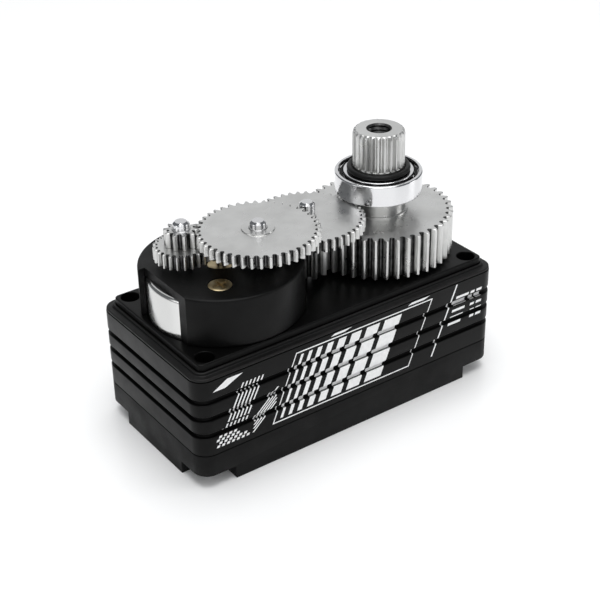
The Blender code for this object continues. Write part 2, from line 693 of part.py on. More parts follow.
def gears_and_pins():
    low, high = FIRST_GEAR_ABOVE
    pinion = (low + OVERLAP, FIRST_PINION_ABOVE)
    compound_gear("first_gear", FIRST_AXIS, FIRST_PHASE, FIRST_MESH, (low, high), SECOND_MESH, pinion)
    low, high = SECOND_GEAR_ABOVE
    pinion = (SECOND_PINION_ABOVE, high - OVERLAP)
    compound_gear("second_gear", SECOND_AXIS, SECOND_PHASE, SECOND_MESH, (low, high), THIRD_MESH, pinion)
    low, high = THIRD_GEAR_ABOVE
    pinion = (THIRD_PINION_ABOVE, high - OVERLAP)
    compound_gear("third_gear", THIRD_AXIS, THIRD_PHASE, THIRD_MESH, (low, high), LAST_MESH, pinion)
    pin_seat = DECK + CAN_ABOVE + PIN_SEAT_GAP
    gear_pin("first_gear_pin", FIRST_AXIS, pin_seat, DECK + FIRST_PIN_ABOVE)
    gear_pin("second_gear_pin", SECOND_AXIS, pin_seat, DECK + SECOND_PIN_ABOVE)
    gear_pin("third_gear_pin", THIRD_AXIS, DECK - DECK_THICKNESS + PIN_SEAT_GAP, DECK + THIRD_PIN_ABOVE)


def output_gear():
    """The last wheel, its hub, its two bearing journals and its splined end, all one piece."""
    _, teeth, module = LAST_MESH
    low, high = OUTPUT_GEAR_ABOVE
    outline = gear_outline(teeth, module, -PINION_SHIFT, OUTPUT_AXIS, OUTPUT_PHASE)
    gear = flat_solid("output_gear", [outline], DECK + low, DECK + high, STEEL)
    bearing_low, bearing_high = BEARING_ABOVE
    spline_low, spline_high = SPLINE_ABOVE
    shaft = [
        (0.0, spline_high),
        (CROWN_RADIUS, spline_high),
        (SPLINE_ROOT_RADIUS, spline_high - (SPLINE_ROOT_RADIUS - CROWN_RADIUS)),
        (SPLINE_ROOT_RADIUS, spline_low),
        (COLLAR_RADIUS, spline_low),
        (COLLAR_RADIUS, bearing_high + COLLAR_GAP),
        (JOURNAL_RADIUS, bearing_high + COLLAR_GAP),
        (JOURNAL_RADIUS, bearing_low - GAP),
        (HUB_RADIUS, bearing_low - GAP),
        (HUB_RADIUS, low + HUB_SUNK),
        (LOWER_JOURNAL_RADIUS, low + HUB_SUNK),
        (LOWER_JOURNAL_RADIUS, -LOWER_JOURNAL_BELOW),
        (0.0, -LOWER_JOURNAL_BELOW),
    ]
    shaft_profile = [(radius, DECK + above) for radius, above in shaft]
    join(gear, turned("output_shaft", shaft_profile, OUTPUT_AXIS, LARGE_STEPS))
    spline_top = DECK + spline_high + OVERSHOOT
    spline = flat_solid("spline_teeth", [spline_outline()], DECK + spline_low - SPLINE_SUNK, spline_top)
    crown = [
        (0.0, spline_high),
        (CROWN_RADIUS, spline_high),
        (SPLINE_RADIUS + CROWN_OVERHANG, spline_high - CROWN_HEIGHT),
        (SPLINE_RADIUS + CROWN_OVERHANG, spline_low),
        (0.0, spline_low),
    ]
    crown_profile = [(radius, DECK + above) for radius, above in crown]
    combine(spline, turned("crown_envelope", crown_profile, OUTPUT_AXIS, LARGE_STEPS), "INTERSECT")
    join(gear, spline)
    top = DECK + spline_high
    mouth = THREAD_MOUTH_RADIUS - THREAD_RADIUS
    thread = [
        (0.0, top + OVERSHOOT),
        (THREAD_MOUTH_RADIUS, top + OVERSHOOT),
        (THREAD_MOUTH_RADIUS, top),
        (THREAD_RADIUS, top - mouth),
        (THREAD_RADIUS, top - THREAD_DEPTH),
        (0.0, top - THREAD_DEPTH),
    ]
    cut(gear, turned("thread_hole", thread, OUTPUT_AXIS, MEDIUM_STEPS))
    socket_top = POT_SHAFT_TOP + POT_SOCKET_GAP
    socket_bottom = DECK - LOWER_JOURNAL_BELOW - OVERSHOOT
    cut(gear, disc("pot_socket", OUTPUT_AXIS, POT_SOCKET_RADIUS, socket_bottom, socket_top, SMALL_STEPS))


# Bearings


def groove(radius, deep, middle):
    """Points down a ring's raceway: a shallow round groove of the given depth at the middle height."""
    half = BALL_RADIUS
    return [
        (radius + deep * math.sin(math.pi * part), middle + half * math.cos(math.pi * part))
        for part in (0.0, 0.5, 1.0)
    ]


def output_bearing():
    low, high = (DECK + above for above in BEARING_ABOVE)
    middle = (low + high) / 2
    bore = BEARING_BORE + GAP
    inner = [(bore, high), (INNER_RING_RADIUS, high), *groove(INNER_RING_RADIUS, -RACE_DEPTH, middle)]
    inner += [(INNER_RING_RADIUS, low), (bore, low)]
    turned("output_bearing_inner_ring", inner, OUTPUT_AXIS, LARGE_STEPS, CHROME, ring=True)
    edge = BEARING_CHAMFER
    outer = [(OUTER_RING_BORE, high), (BEARING_RADIUS - edge, high), (BEARING_RADIUS, high - edge)]
    outer += [(BEARING_RADIUS, low + edge), (BEARING_RADIUS - edge, low), (OUTER_RING_BORE, low)]
    outer += groove(OUTER_RING_BORE, RACE_DEPTH, middle)[::-1]
    turned("output_bearing_outer_ring", outer, OUTPUT_AXIS, LARGE_STEPS, CHROME, ring=True)
    track = (INNER_RING_RADIUS + OUTER_RING_BORE) / 2
    cage = (INNER_RING_RADIUS + CAGE_SIDE_GAP, OUTER_RING_BORE - CAGE_SIDE_GAP)
    cage_bottom = middle + BALL_RADIUS + GAP
    cage_top = cage_bottom + CAGE_THICKNESS
    ring("output_bearing_cage", OUTPUT_AXIS, cage, cage_bottom, cage_top, LARGE_STEPS, BLACK_PLASTIC)
    for number in range(BALL_COUNT):
        place = on_circle(OUTPUT_AXIS, track, math.tau * number / BALL_COUNT)
        ball(f"output_bearing_ball_{number + 1}", place, middle, BALL_RADIUS - GAP, CHROME)


def ball(name, place, height, radius, look):
    shape = bmesh.new()
    spot = Matrix.Translation((place[0] * MM, place[1] * MM, height * MM))
    bmesh.ops.create_uvsphere(shape, u_segments=8, v_segments=6, radius=radius * MM, matrix=spot)
    mesh = bpy.data.meshes.new(name)
    shape.to_mesh(mesh)
    shape.free()
    link(mesh, name, PARTS, look)


def output_seal():
    """The O-ring that the top case's bore closes on, just above the bearing."""
    inner, outer = SEAL_RADII
    radius = (outer - inner) / 2 - GAP
    middle = ((inner + outer) / 2, DECK + BEARING_ABOVE[1] + GAP + SEAL_HEIGHT / 2)
    section = [
        (middle[0] + radius * math.cos(turn), middle[1] + SEAL_HEIGHT / 2 * math.sin(turn))
        for turn in (math.pi - math.tau * i / SEAL_STEPS for i in range(SEAL_STEPS))
    ]
    turned("output_seal_ring", section, OUTPUT_AXIS, MEDIUM_STEPS, RUBBER, ring=True)


def lower_bearing():
    low = DECK - LOWER_BEARING_BELOW[0]
    high = DECK - LOWER_BEARING_BELOW[1]
    inner = (LOWER_JOURNAL_RADIUS + GAP, LOWER_INNER_RADIUS)
    ring("lower_bearing_inner_ring", OUTPUT_AXIS, inner, low, high, MEDIUM_STEPS, CHROME)
    outer = (LOWER_OUTER_BORE, LOWER_BEARING_RADIUS)
    ring("lower_bearing_outer_ring", OUTPUT_AXIS, outer, low, high, MEDIUM_STEPS, CHROME)
    cage = (LOWER_INNER_RADIUS + LOWER_CAGE_SIDE_GAP, LOWER_OUTER_BORE - LOWER_CAGE_SIDE_GAP)
    inset = LOWER_CAGE_END_GAP
    ring("lower_bearing_cage", OUTPUT_AXIS, cage, low + inset, high - inset, MEDIUM_STEPS, STEEL)


# Electronics


def on_board(name, extent, side, look):
    """A plain block soldered to the board: side is 1 on top of it and -1 under it."""
    x, y, height = extent
    low, high = BOARD_HEIGHTS
    near = high + SOLDER_GAP if side > 0 else low - SOLDER_GAP
    bottom, top = sorted((near, near + side * height))
    flat_solid(name, [rectangle(x, y)], bottom, top, look)


def circuit_board():
    low, high = BOARD_HEIGHTS
    half = BOARD_HALF_WIDTH
    flat_solid("circuit_board", [rectangle(BOARD_X, (-half, half))], low, high, BOARD)
    on_board("controller_chip", CONTROLLER_CHIP, 1, CHIP)
    on_board("driver_chip_left", DRIVER_CHIP_LEFT, 1, CHIP)
    on_board("driver_chip_right", DRIVER_CHIP_RIGHT, -1, CHIP)
    on_board("capacitor", CAPACITOR, -1, BRASS)


def potentiometer():
    """The sensor that reads the output shaft's angle, with its own short shaft."""
    low, high = POT_HEIGHTS
    body = disc("potentiometer_body", OUTPUT_AXIS, POT_RADIUS, low, high, MEDIUM_STEPS, POT_PLASTIC)
    bore = POT_SHAFT_RADIUS + POT_BORE_GAP
    floor = low + POT_FLOOR
    cut(body, disc("potentiometer_bore", OUTPUT_AXIS, bore, floor, high + OVERSHOOT, SMALL_STEPS))
    bottom = floor + POT_BORE_GAP
    disc("potentiometer_shaft", OUTPUT_AXIS, POT_SHAFT_RADIUS, bottom, POT_SHAFT_TOP, SMALL_STEPS, STEEL)


clear_scene()
PARTS = new_collection("hobby_servo_motor")
CUTTERS = new_collection("cutters")
bottom_cover()
bottom_gasket()
middle_case()
top_gasket()
cable_grommet()
motor_holder()
motor_screws()
motor_can()
motor_inside()
motor_end_cap()
motor_pinion()
gears_and_pins()
output_gear()
output_bearing()
output_seal()
lower_bearing()
circuit_board()
potentiometer()
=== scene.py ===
"""Looks of a low-profile hobby servo with its top case off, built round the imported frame.

Every size here is in millimetres and becomes metres as a mesh is made. Places come from the frame,
and heights marked ABOVE count from the flat top of the middle case.
"""

import json
import math

import bmesh
import bpy
from mathutils import Matrix, Vector


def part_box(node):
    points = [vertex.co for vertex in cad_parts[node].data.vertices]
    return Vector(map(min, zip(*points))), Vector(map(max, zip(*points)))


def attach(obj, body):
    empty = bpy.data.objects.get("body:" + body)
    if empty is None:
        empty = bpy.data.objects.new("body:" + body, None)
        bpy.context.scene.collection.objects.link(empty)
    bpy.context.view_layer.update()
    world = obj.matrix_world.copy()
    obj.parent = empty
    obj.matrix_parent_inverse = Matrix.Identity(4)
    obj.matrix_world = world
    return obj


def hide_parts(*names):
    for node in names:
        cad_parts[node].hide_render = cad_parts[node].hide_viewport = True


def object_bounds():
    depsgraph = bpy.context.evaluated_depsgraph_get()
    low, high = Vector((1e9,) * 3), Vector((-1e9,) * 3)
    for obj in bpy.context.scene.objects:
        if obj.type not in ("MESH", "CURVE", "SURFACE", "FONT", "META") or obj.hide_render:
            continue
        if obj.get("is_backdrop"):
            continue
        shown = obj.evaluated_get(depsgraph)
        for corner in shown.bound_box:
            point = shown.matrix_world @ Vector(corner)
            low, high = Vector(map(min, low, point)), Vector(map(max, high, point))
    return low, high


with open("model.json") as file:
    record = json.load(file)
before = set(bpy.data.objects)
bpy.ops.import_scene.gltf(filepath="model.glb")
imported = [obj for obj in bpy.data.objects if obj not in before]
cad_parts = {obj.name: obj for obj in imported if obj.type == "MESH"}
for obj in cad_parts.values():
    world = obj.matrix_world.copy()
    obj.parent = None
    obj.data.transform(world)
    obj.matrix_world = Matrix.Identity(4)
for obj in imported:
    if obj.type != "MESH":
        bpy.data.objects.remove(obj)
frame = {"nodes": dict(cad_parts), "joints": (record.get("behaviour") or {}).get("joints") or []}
CAD_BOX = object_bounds()

MM = 0.001
PER_METRE = 1000


def box_mm(node):
    low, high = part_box(node)
    return low * PER_METRE, high * PER_METRE


def axis_mm(body):
    joint = next(joint for joint in frame["joints"] if joint["child"] == body)
    x, y, _ = joint["pos_m"]
    return (x * PER_METRE, y * PER_METRE)


# Places read from the frame
CASE_LOW, CASE_HIGH = box_mm("middle_case")
HALF_LENGTH = CASE_HIGH.x
HALF_WIDTH = CASE_HIGH.y
SEAM = CASE_LOW.z
DECK = CASE_HIGH.z
COVER_TOP = box_mm("bottom_cover")[1].z
OUTPUT_AXIS = axis_mm("output")
THIRD_AXIS = axis_mm("third_gear")
SECOND_AXIS = axis_mm("second_gear")
FIRST_AXIS = axis_mm("first_gear")
MOTOR_AXIS = axis_mm("motor_rotor")

# Case
SKIN = 0.02
CORNER_RADIUS = 1.8
LEAST_CORNER = 0.4
DECK_INSET = 1.15
LEDGE = DECK - 1.5
CASE_WALL = 1.6
SCREW_POST = 5.3
DECK_THICKNESS = 1.6
GROOVE_BELOW_DECK = (8.15, 6.06, 3.99)
GROOVE_HEIGHT = 0.6
GROOVE_DEPTH = 0.45
EDGE_ROUNDING = 0.16
GROOVE_ROUNDING = 0.1
SCREW_HOLE_RADIUS = 1.05
SCREW_HOLE_FLARE = 0.06
SCREW_INSET = (2.6, 2.4)
FOOT_NOTCH = 4.3
FOOT_NOTCH_HEIGHT = 1.55
COVER_FLOOR = 1.2
INLET_HALF_WIDTH = 2.4
INLET_HEIGHTS = (1.5, 3.5)
GASKET_THICKNESS = 0.36
GASKET_BEAD = 0.34
GASKET_GAP = 0.03
GASKET_SET_BACK = 0.05 + SKIN
GASKET_ROUNDING = 0.14
COVER_HOLE_BOTTOM = 0.5
SHAFT_SEAT_RADIUS = 4.03
SHAFT_SEAT_DEPTH = 2.38
OVERSHOOT = 1.0

# Gears: driver teeth, driven teeth and module of each mesh, motor first
FIRST_MESH = (9, 24, 0.25)
SECOND_MESH = (10, 42, 0.31)
THIRD_MESH = (15, 42, 0.30)
LAST_MESH = (10, 42, 0.40)
PRESSURE_ANGLE = math.radians(25)
ADDENDUM = 0.85
DEDENDUM = 1.1
PINION_SHIFT = 0.3
BACKLASH = 0.035
TOOTH_CHAMFER = 0.06
TIP_EASING = 0.12  # of a tooth's depth
FLANK_PARTS = (0.14, 0.35, 0.6, 0.88)  # of a tooth's depth
PINION_BORE = 0.53
PIN_ROUNDING = 0.08
BORE_RADIUS = 0.91
BORE_CHAMFER = 0.12
PIN_RADIUS = 0.88
PIN_CHAMFER = 0.25
FIRST_GEAR_ABOVE = (6.6, 8.2)
FIRST_PINION_TOP = 10.0
SECOND_GEAR_ABOVE = (8.4, 9.7)
SECOND_PINION_BOTTOM = 6.15
THIRD_GEAR_ABOVE = (6.25, 7.55)
THIRD_PINION_BOTTOM = 0.8
OUTPUT_GEAR_ABOVE = (0.5, 5.4)
RAISED_RING = (1.75, 0.12)

# Output shaft and its bearing
HUB_RADIUS = 3.15
HUB_FOOT = (3.45, 0.22)
COLLAR_RADIUS = 2.9
JOURNAL_RADIUS = 2.98
LOWER_JOURNAL_RADIUS = 2.5
LOWER_JOURNAL_BELOW = 2.7
POT_SOCKET_RADIUS = 1.12
POT_SOCKET_TOP = 14.2
BEARING_ABOVE = (7.7, 10.2)
SPLINE_ABOVE = (10.9, 15.15)
SPLINE_TEETH = 25
SPLINE_RADIUS = 2.96
SPLINE_ROOT_RADIUS = 2.62
CROWN_RADIUS = 2.5
CROWN_HEIGHT = 0.5
THREAD_RADIUS = 1.25
THREAD_PITCH = 0.5
THREAD_RIDGE = 0.16
THREAD_DEPTH = 6.5
THREAD_MOUTH_RADIUS = 1.45
SOCKET_CENTRE = 0.05
COLLAR_GAP = 0.05
JOURNAL_GAP = 0.03
HUB_SUNK = 0.3
SHAFT_ROUNDING = 0.06
RING_CHAMFER = 0.12
INNER_RING_RADII = (3.03, 4.0)
OUTER_RING_RADII = (4.6, 5.0)
RACE_RADIUS = 0.55
RACE_DEPTH = 0.3
INNER_RING_ROUNDING = 0.1
OUTER_RING_ROUNDING = 0.05
SEAL_GAP = 0.08
SEAL_STEPS = 24

# Motor and its holder
HOLDER_RADIUS = 9.0
HOLDER_BORE = 8.33
HOLDER_TOP_ABOVE = 5.7
HOLDER_NOSE_HOLE = 2.2
HOLDER_RELIEF = 3.0
HOLDER_EDGE = 0.3
CAN_TOP_ABOVE = 4.7
CAN_RADIUS = 8.25
CAN_WALL = 0.4
CAN_EDGE = 0.45
CAN_FRONT_BORE = 1.6
CAN_EDGE_STEPS = 8
CAN_SIDE_GAP = 0.1
CAN_END_GAP = 0.03
WINDOW_DEPTH = 3
WINDOW_X = -18.05
WINDOW_Y = (-4.95, 3.3)
PIN_HOLE_RADIUS = 0.91
SCREW_HEAD_GAP = 0.03
PHILLIPS_ARM = 0.78
PHILLIPS_WIDTH = 0.32
PHILLIPS_DEPTH = 0.42
SCREW_CROWN = ((1.0, 0.1), (0.8, 0.025), (0.4, 0.0))  # share of the radius, and drop below the top

ROUND_STEPS = 128
SMALL_STEPS = 48
FILLET_STEPS = 4
SMOOTH_ANGLE = math.radians(32)
UPRIGHT = 0.8  # the most an upright face's normal may rise
CORNER_STEPS = 10
FILLET_SHARE = 0.45  # the most of a side that one rounded corner may take
EDGE_SEGMENTS = 2
EDGE_ANGLE = math.radians(40)
COVER_BEVEL = 0.08
HOLDER_BEVEL = 0.07
SCREW_BEVEL = 0.03
NODE_BEVEL = 0.04
WELD_DISTANCE = 1e-6
# How far the painted shade in the tooth gaps reaches, in modules, out from the foot of the teeth
SHADE_REACH = 0.7  # of a module, out from the foot of the teeth


# Outlines and profiles


def on_circle(centre, radius, angle):
    return (centre[0] + radius * math.cos(angle), centre[1] + radius * math.sin(angle))


def circle(centre, radius, steps=ROUND_STEPS):
    return [on_circle(centre, radius, math.tau * i / steps) for i in range(steps)]


def at_height(outline, height):
    return [(x, y, height) for x, y in outline]


def case_outline(inset):
    """The case's rounded rectangle, moved in by inset, with the same number of points for every inset."""
    radius = max(CORNER_RADIUS - inset, LEAST_CORNER)
    x = HALF_LENGTH - inset - radius
    y = HALF_WIDTH - inset - radius
    corners = ((x, y), (-x, y), (-x, -y), (x, -y))
    return [
        on_circle(corner, radius, (quarter + i / CORNER_STEPS) * math.pi / 2)
        for quarter, corner in enumerate(corners)
        for i in range(CORNER_STEPS + 1)
    ]


def rounded(profile, reach, closed=False):
    """The profile with each corner swapped for a small curve that starts reach away from it."""
    made = []
    count = len(profile)
    for i, corner in enumerate(profile):
        if not closed and i in (0, count - 1):
            made.append(corner)
            continue
        before = profile[i - 1]
        after = profile[(i + 1) % count]
        starts = []
        for other in (before, after):
            length = math.dist(other, corner)
            part = min(reach, FILLET_SHARE * length) / length
            starts.append(tuple(c + (o - c) * part for c, o in zip(corner, other)))
        for step in range(FILLET_STEPS + 1):
            t = step / FILLET_STEPS
            made.append(
                tuple(
                    a * (1 - t) ** 2 + 2 * c * t * (1 - t) + b * t**2
                    for a, c, b in zip(starts[0], corner, starts[1])
                )
            )
    return made


def involute(angle):
    return math.tan(angle) - angle


def gear_outline(teeth, module, shift, centre, phase):
    """Teeth with involute flanks, rounded tips and filleted roots."""
    pitch_radius = teeth * module / 2
    base_radius = pitch_radius * math.cos(PRESSURE_ANGLE)
    tip_radius = pitch_radius + module * (ADDENDUM + shift)
    root_radius = pitch_radius - module * (DEDENDUM - shift)
    at_pitch = (math.pi / 2 + 2 * shift * math.tan(PRESSURE_ANGLE)) / teeth - BACKLASH / (2 * pitch_radius)

    def half_tooth(radius):
        pressure = math.acos(base_radius / max(radius, base_radius))
        return at_pitch + involute(PRESSURE_ANGLE) - involute(pressure)

    depth = tip_radius - root_radius
    tip_easing = TIP_EASING * depth
    flank = [(root_radius, half_tooth(root_radius) + tip_easing / root_radius)]
    for part in FLANK_PARTS:
        radius = root_radius + depth * part
        flank.append((radius, half_tooth(radius)))
    flank.append((tip_radius, half_tooth(tip_radius) - tip_easing / tip_radius))
    points = []
    for tooth in range(teeth):
        middle = phase + math.tau * tooth / teeth
        points += [on_circle(centre, radius, middle - half) for radius, half in flank]
        points += [on_circle(centre, radius, middle + half) for radius, half in flank[::-1]]
    return points


def moved_in(outline, distance):
    """Each point of a counter-clockwise outline moved in by distance, square to the outline there."""
    made = []
    count = len(outline)
    for i, (x, y) in enumerate(outline):
        before = outline[i - 1]
        after = outline[(i + 1) % count]
        along = Vector((after[0] - before[0], after[1] - before[1])).normalized()
        made.append((x - along.y * distance, y + along.x * distance))
    return made


def drawn_to(outline, centre, radius):
    """The point of a circle that lies in the same direction as each point of the outline."""
    return [on_circle(centre, radius, math.atan2(y - centre[1], x - centre[0])) for x, y in outline]


def driven_phase(driver_axis, driver_phase, driven_axis, mesh):
    """The driven gear's angle that puts its gap on the driver's tooth."""
    driver_teeth, driven_teeth, _ = mesh
    way = math.atan2(driven_axis[1] - driver_axis[1], driven_axis[0] - driver_axis[0])
    driver_part = (way - driver_phase) * driver_teeth / math.tau
    return way + math.pi - (0.5 - driver_part) * math.tau / driven_teeth


FIRST_PHASE = driven_phase(MOTOR_AXIS, 0.0, FIRST_AXIS, FIRST_MESH)
SECOND_PHASE = driven_phase(FIRST_AXIS, FIRST_PHASE, SECOND_AXIS, SECOND_MESH)
THIRD_PHASE = driven_phase(SECOND_AXIS, SECOND_PHASE, THIRD_AXIS, THIRD_MESH)
OUTPUT_PHASE = driven_phase(THIRD_AXIS, THIRD_PHASE, OUTPUT_AXIS, LAST_MESH)


# Skins: each is a list of points and a list of faces


def loft(rings, closed=False):
    """Skins a stack of rings with the same number of points. Closed joins the last ring to the first."""
    count = len(rings[0])
    points = [point for ring in rings for point in ring]
    faces = []
    for level in range(len(rings) if closed else len(rings) - 1):
        low = level * count
        high = (level + 1) % len(rings) * count
        for i in range(count):
            j = (i + 1) % count
            faces.append((low + i, low + j, high + j, high + i))
    if not closed:
        faces.append(tuple(range(count)))
        faces.append(tuple(range(len(points) - count, len(points))))
    return points, faces


def lathe(profile, axis, steps=ROUND_STEPS, closed=False):
    """A profile of (radius, height) points turned about an upright axis."""
    return loft([at_height(circle(axis, radius, steps), height) for radius, height in profile], closed)


def slab(x, y, z):
    outline = [(x[0], y[0]), (x[1], y[0]), (x[1], y[1]), (x[0], y[1])]
    return loft([at_height(outline, z[0]), at_height(outline, z[1])])


def wheel(outline, axis, bottom, top, ring_rise=0.0):
    """A toothed wheel with chamfered ends and bore, and a low raised ring round the bore."""
    face = moved_in(outline, TOOTH_CHAMFER)
    ring_radius = RAISED_RING[0]

    def bore(extra, height):
        return at_height(drawn_to(outline, axis, BORE_RADIUS + extra), height)

    rings = [
        bore(BORE_CHAMFER, bottom),
        at_height(face, bottom),
        at_height(outline, bottom + TOOTH_CHAMFER),
        at_height(outline, top - TOOTH_CHAMFER),
        at_height(face, top),
    ]
    if ring_rise:
        rings.append(at_height(drawn_to(outline, axis, ring_radius + ring_rise / 2), top))
        rings.append(at_height(drawn_to(outline, axis, ring_radius), top + ring_rise))
    rings.append(bore(BORE_CHAMFER, top + ring_rise))
    rings.append(bore(0.0, top + ring_rise - BORE_CHAMFER))
    rings.append(bore(0.0, bottom + BORE_CHAMFER))
    return loft(rings, closed=True)


def mesh_of(name, skins):
    shape = bmesh.new()
    for points, faces in skins:
        corners = [shape.verts.new((x * MM, y * MM, z * MM)) for x, y, z in points]
        for face in faces:
            shape.faces.new([corners[i] for i in face])
    bmesh.ops.recalc_face_normals(shape, faces=shape.faces)
    mesh = bpy.data.meshes.new(name)
    shape.to_mesh(mesh)
    shape.free()
    return mesh


def smooth(mesh):
    mesh.shade_smooth()
    mesh.set_sharp_from_angle(angle=SMOOTH_ANGLE)


def thing_of(name, skins):
    made = bpy.data.objects.new(name, mesh_of(name, skins))
    bpy.context.scene.collection.objects.link(made)
    return made


def piece(name, skins, look, body, node, cutters=(), bevel=0.0):
    """One visible piece: skins, less its cutters, that rides on a body and stands for a CAD node."""
    made = thing_of(name, skins)
    tools = []
    for number, cutter in enumerate(cutters):
        tool = thing_of(f"{name}_cutter_{number}", [cutter])
        change = made.modifiers.new("cut", "BOOLEAN")
        change.operation = "DIFFERENCE"
        change.solver = "EXACT"
        change.object = tool
        tools.append(tool)
    if bevel:
        change = made.modifiers.new("edges", "BEVEL")
        change.width = bevel * MM
        change.segments = EDGE_SEGMENTS
        change.limit_method = "ANGLE"
        change.angle_limit = EDGE_ANGLE
        change.use_clamp_overlap = True
    if made.modifiers:
        bpy.context.view_layer.update()
        shown = made.evaluated_get(bpy.context.evaluated_depsgraph_get())
        made.data = bpy.data.meshes.new_from_object(shown)
        made.modifiers.clear()
    for tool in tools:
        bpy.data.objects.remove(tool, do_unlink=True)
    smooth(made.data)
    made.data.materials.clear()
    made.data.materials.append(look)
    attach(made, body)
    if node:
        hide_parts(node)
    return made


def paint_gap_shade(made, axis, reaches):
    """Darkens the upright faces that lie between each pair of distances from an axis: painted shade in the
    gaps.
    """
    made.data.materials.append(GAP_SHADE_STEEL)
    for face in made.data.polygons:
        reach = math.hypot(face.center.x / MM - axis[0], face.center.y / MM - axis[1])
        upright = abs(face.normal.z) < UPRIGHT
        if upright and any(low < reach < high for low, high in reaches):
            face.material_index = 1


# Materials


class Look:
    """A procedural material: a Principled shader, and the nodes that vary it over the surface."""

    def __init__(self, name, colour, roughness, metallic=0.0, specular=0.5):
        self.material = bpy.data.materials.new(name)
        self.material.use_nodes = True
        self.tree = self.material.node_tree
        self.shader = self.tree.nodes["Principled BSDF"]
        self.shader.inputs["Base Color"].default_value = (*colour, 1.0)
        self.shader.inputs["Roughness"].default_value = roughness
        self.shader.inputs["Metallic"].default_value = metallic
        self.shader.inputs["Specular IOR Level"].default_value = specular
        self.place = self.node("ShaderNodeTexCoord").outputs["Object"]

    def node(self, kind, **settings):
        made = self.tree.nodes.new(kind)
        for key, value in settings.items():
            setattr(made, key, value)
        return made

    def wire(self, source, target):
        self.tree.links.new(source, target)

    def noise(self, grain_mm, detail=3.0, stretch=(1, 1, 1)):
        """Noise whose blotches are about grain_mm across, stretched along each axis."""
        mapping = self.node("ShaderNodeMapping")
        mapping.inputs["Scale"].default_value = tuple(1 / part for part in stretch)
        self.wire(self.place, mapping.inputs["Vector"])
        texture = self.node("ShaderNodeTexNoise")
        texture.inputs["Scale"].default_value = PER_METRE / grain_mm
        texture.inputs["Detail"].default_value = detail
        self.wire(mapping.outputs["Vector"], texture.inputs["Vector"])
        return texture.outputs["Fac"]

    def rings(self, axis, pitch_mm):
        """Fine marks in circles about an upright axis, as a lathe leaves."""
        centred = self.node("ShaderNodeVectorMath", operation="SUBTRACT")
        centred.inputs[1].default_value = (axis[0] * MM, axis[1] * MM, 0.0)
        self.wire(self.place, centred.inputs[0])
        flat = self.node("ShaderNodeVectorMath", operation="MULTIPLY")
        flat.inputs[1].default_value = (1.0, 1.0, 0.0)
        self.wire(centred.outputs["Vector"], flat.inputs[0])
        reach = self.node("ShaderNodeVectorMath", operation="LENGTH")
        self.wire(flat.outputs["Vector"], reach.inputs[0])
        texture = self.node("ShaderNodeTexNoise", noise_dimensions="1D")
        texture.inputs["Scale"].default_value = PER_METRE / pitch_mm
        texture.inputs["Detail"].default_value = 2.0
        self.wire(reach.outputs["Value"], texture.inputs["W"])
        return texture.outputs["Fac"]

    def vary_roughness(self, source, low, high):
        spread = self.node("ShaderNodeMapRange")
        spread.inputs["From Min"].default_value = 0.3
        spread.inputs["From Max"].default_value = 0.7
        spread.inputs["To Min"].default_value = low
        spread.inputs["To Max"].default_value = high
        self.wire(source, spread.inputs["Value"])
        self.wire(spread.outputs["Result"], self.shader.inputs["Roughness"])

    def vary_colour(self, source, dark, light, low=0.35, high=0.65):
        ramp = self.node("ShaderNodeValToRGB")
        ramp.color_ramp.elements[0].position = low
        ramp.color_ramp.elements[0].color = (*dark, 1.0)
        ramp.color_ramp.elements[1].position = high
        ramp.color_ramp.elements[1].color = (*light, 1.0)
        self.wire(source, ramp.inputs["Fac"])
        self.wire(ramp.outputs["Color"], self.shader.inputs["Base Color"])

    def bump(self, source, depth_mm, strength=1.0):
        made = self.node("ShaderNodeBump")
        made.inputs["Strength"].default_value = strength
        made.inputs["Distance"].default_value = depth_mm * MM
        self.wire(source, made.inputs["Height"])
        normal = self.shader.inputs["Normal"]
        if normal.is_linked:
            self.wire(normal.links[0].from_socket, made.inputs["Normal"])
        self.wire(made.outputs["Normal"], normal)


def grey(value):
    return (value, value, value)


def black_anodised():
    """Bead-blasted aluminium under a satin black anodised film."""
    look = Look("black_anodised", grey(0.002), 0.34, specular=0.13)
    look.vary_colour(look.noise(9.0), grey(0.0014), grey(0.0028))
    look.vary_roughness(look.noise(1.6), 0.3, 0.4)
    look.bump(look.noise(0.09, detail=2.0), 0.004)
    return look.material


def black_nylon(name, roughness, grain_mm):
    """Glass-filled nylon, with the fine grain of its mould."""
    look = Look(name, grey(0.0035), roughness, specular=0.14)
    look.vary_colour(look.noise(6.0), grey(0.0025), grey(0.0045))
    look.vary_roughness(look.noise(2.2), roughness - 0.06, roughness + 0.08)
    look.bump(look.noise(grain_mm, detail=4.0), 0.012)
    return look.material


def black_rubber():
    look = Look("black_rubber", grey(0.005), 0.42, specular=0.22)
    look.vary_roughness(look.noise(0.8), 0.36, 0.5)
    look.bump(look.noise(0.15), 0.008)
    return look.material


def gear_steel(name, axis):
    """Satin steel, with turning marks about its own axis; its tooth gaps take a darker second material as
    painted shade.
    """
    look = Look(f"gear_steel_{name}", (0.62, 0.62, 0.61), 0.3, metallic=1.0)
    look.vary_colour(look.noise(3.5), (0.57, 0.57, 0.56), (0.67, 0.67, 0.66))
    look.vary_roughness(look.noise(1.1), 0.26, 0.36)
    look.bump(look.rings(axis, 0.16), 0.006)
    look.bump(look.noise(0.12), 0.003)
    return look.material


def shaded_gap_steel():
    """The same steel darkened in the tooth gaps and the thread, as painted shade."""
    look = Look("shaded_gap_steel", grey(0.07), 0.34, metallic=1.0)
    look.vary_colour(look.noise(0.7), grey(0.04), grey(0.11))
    look.vary_roughness(look.noise(0.5), 0.28, 0.42)
    return look.material


def polished_steel(name, axis):
    look = Look(f"polished_steel_{name}", (0.74, 0.74, 0.75), 0.12, metallic=1.0)
    look.vary_roughness(look.noise(1.4), 0.09, 0.17)
    look.bump(look.rings(axis, 0.12), 0.0012)
    return look.material


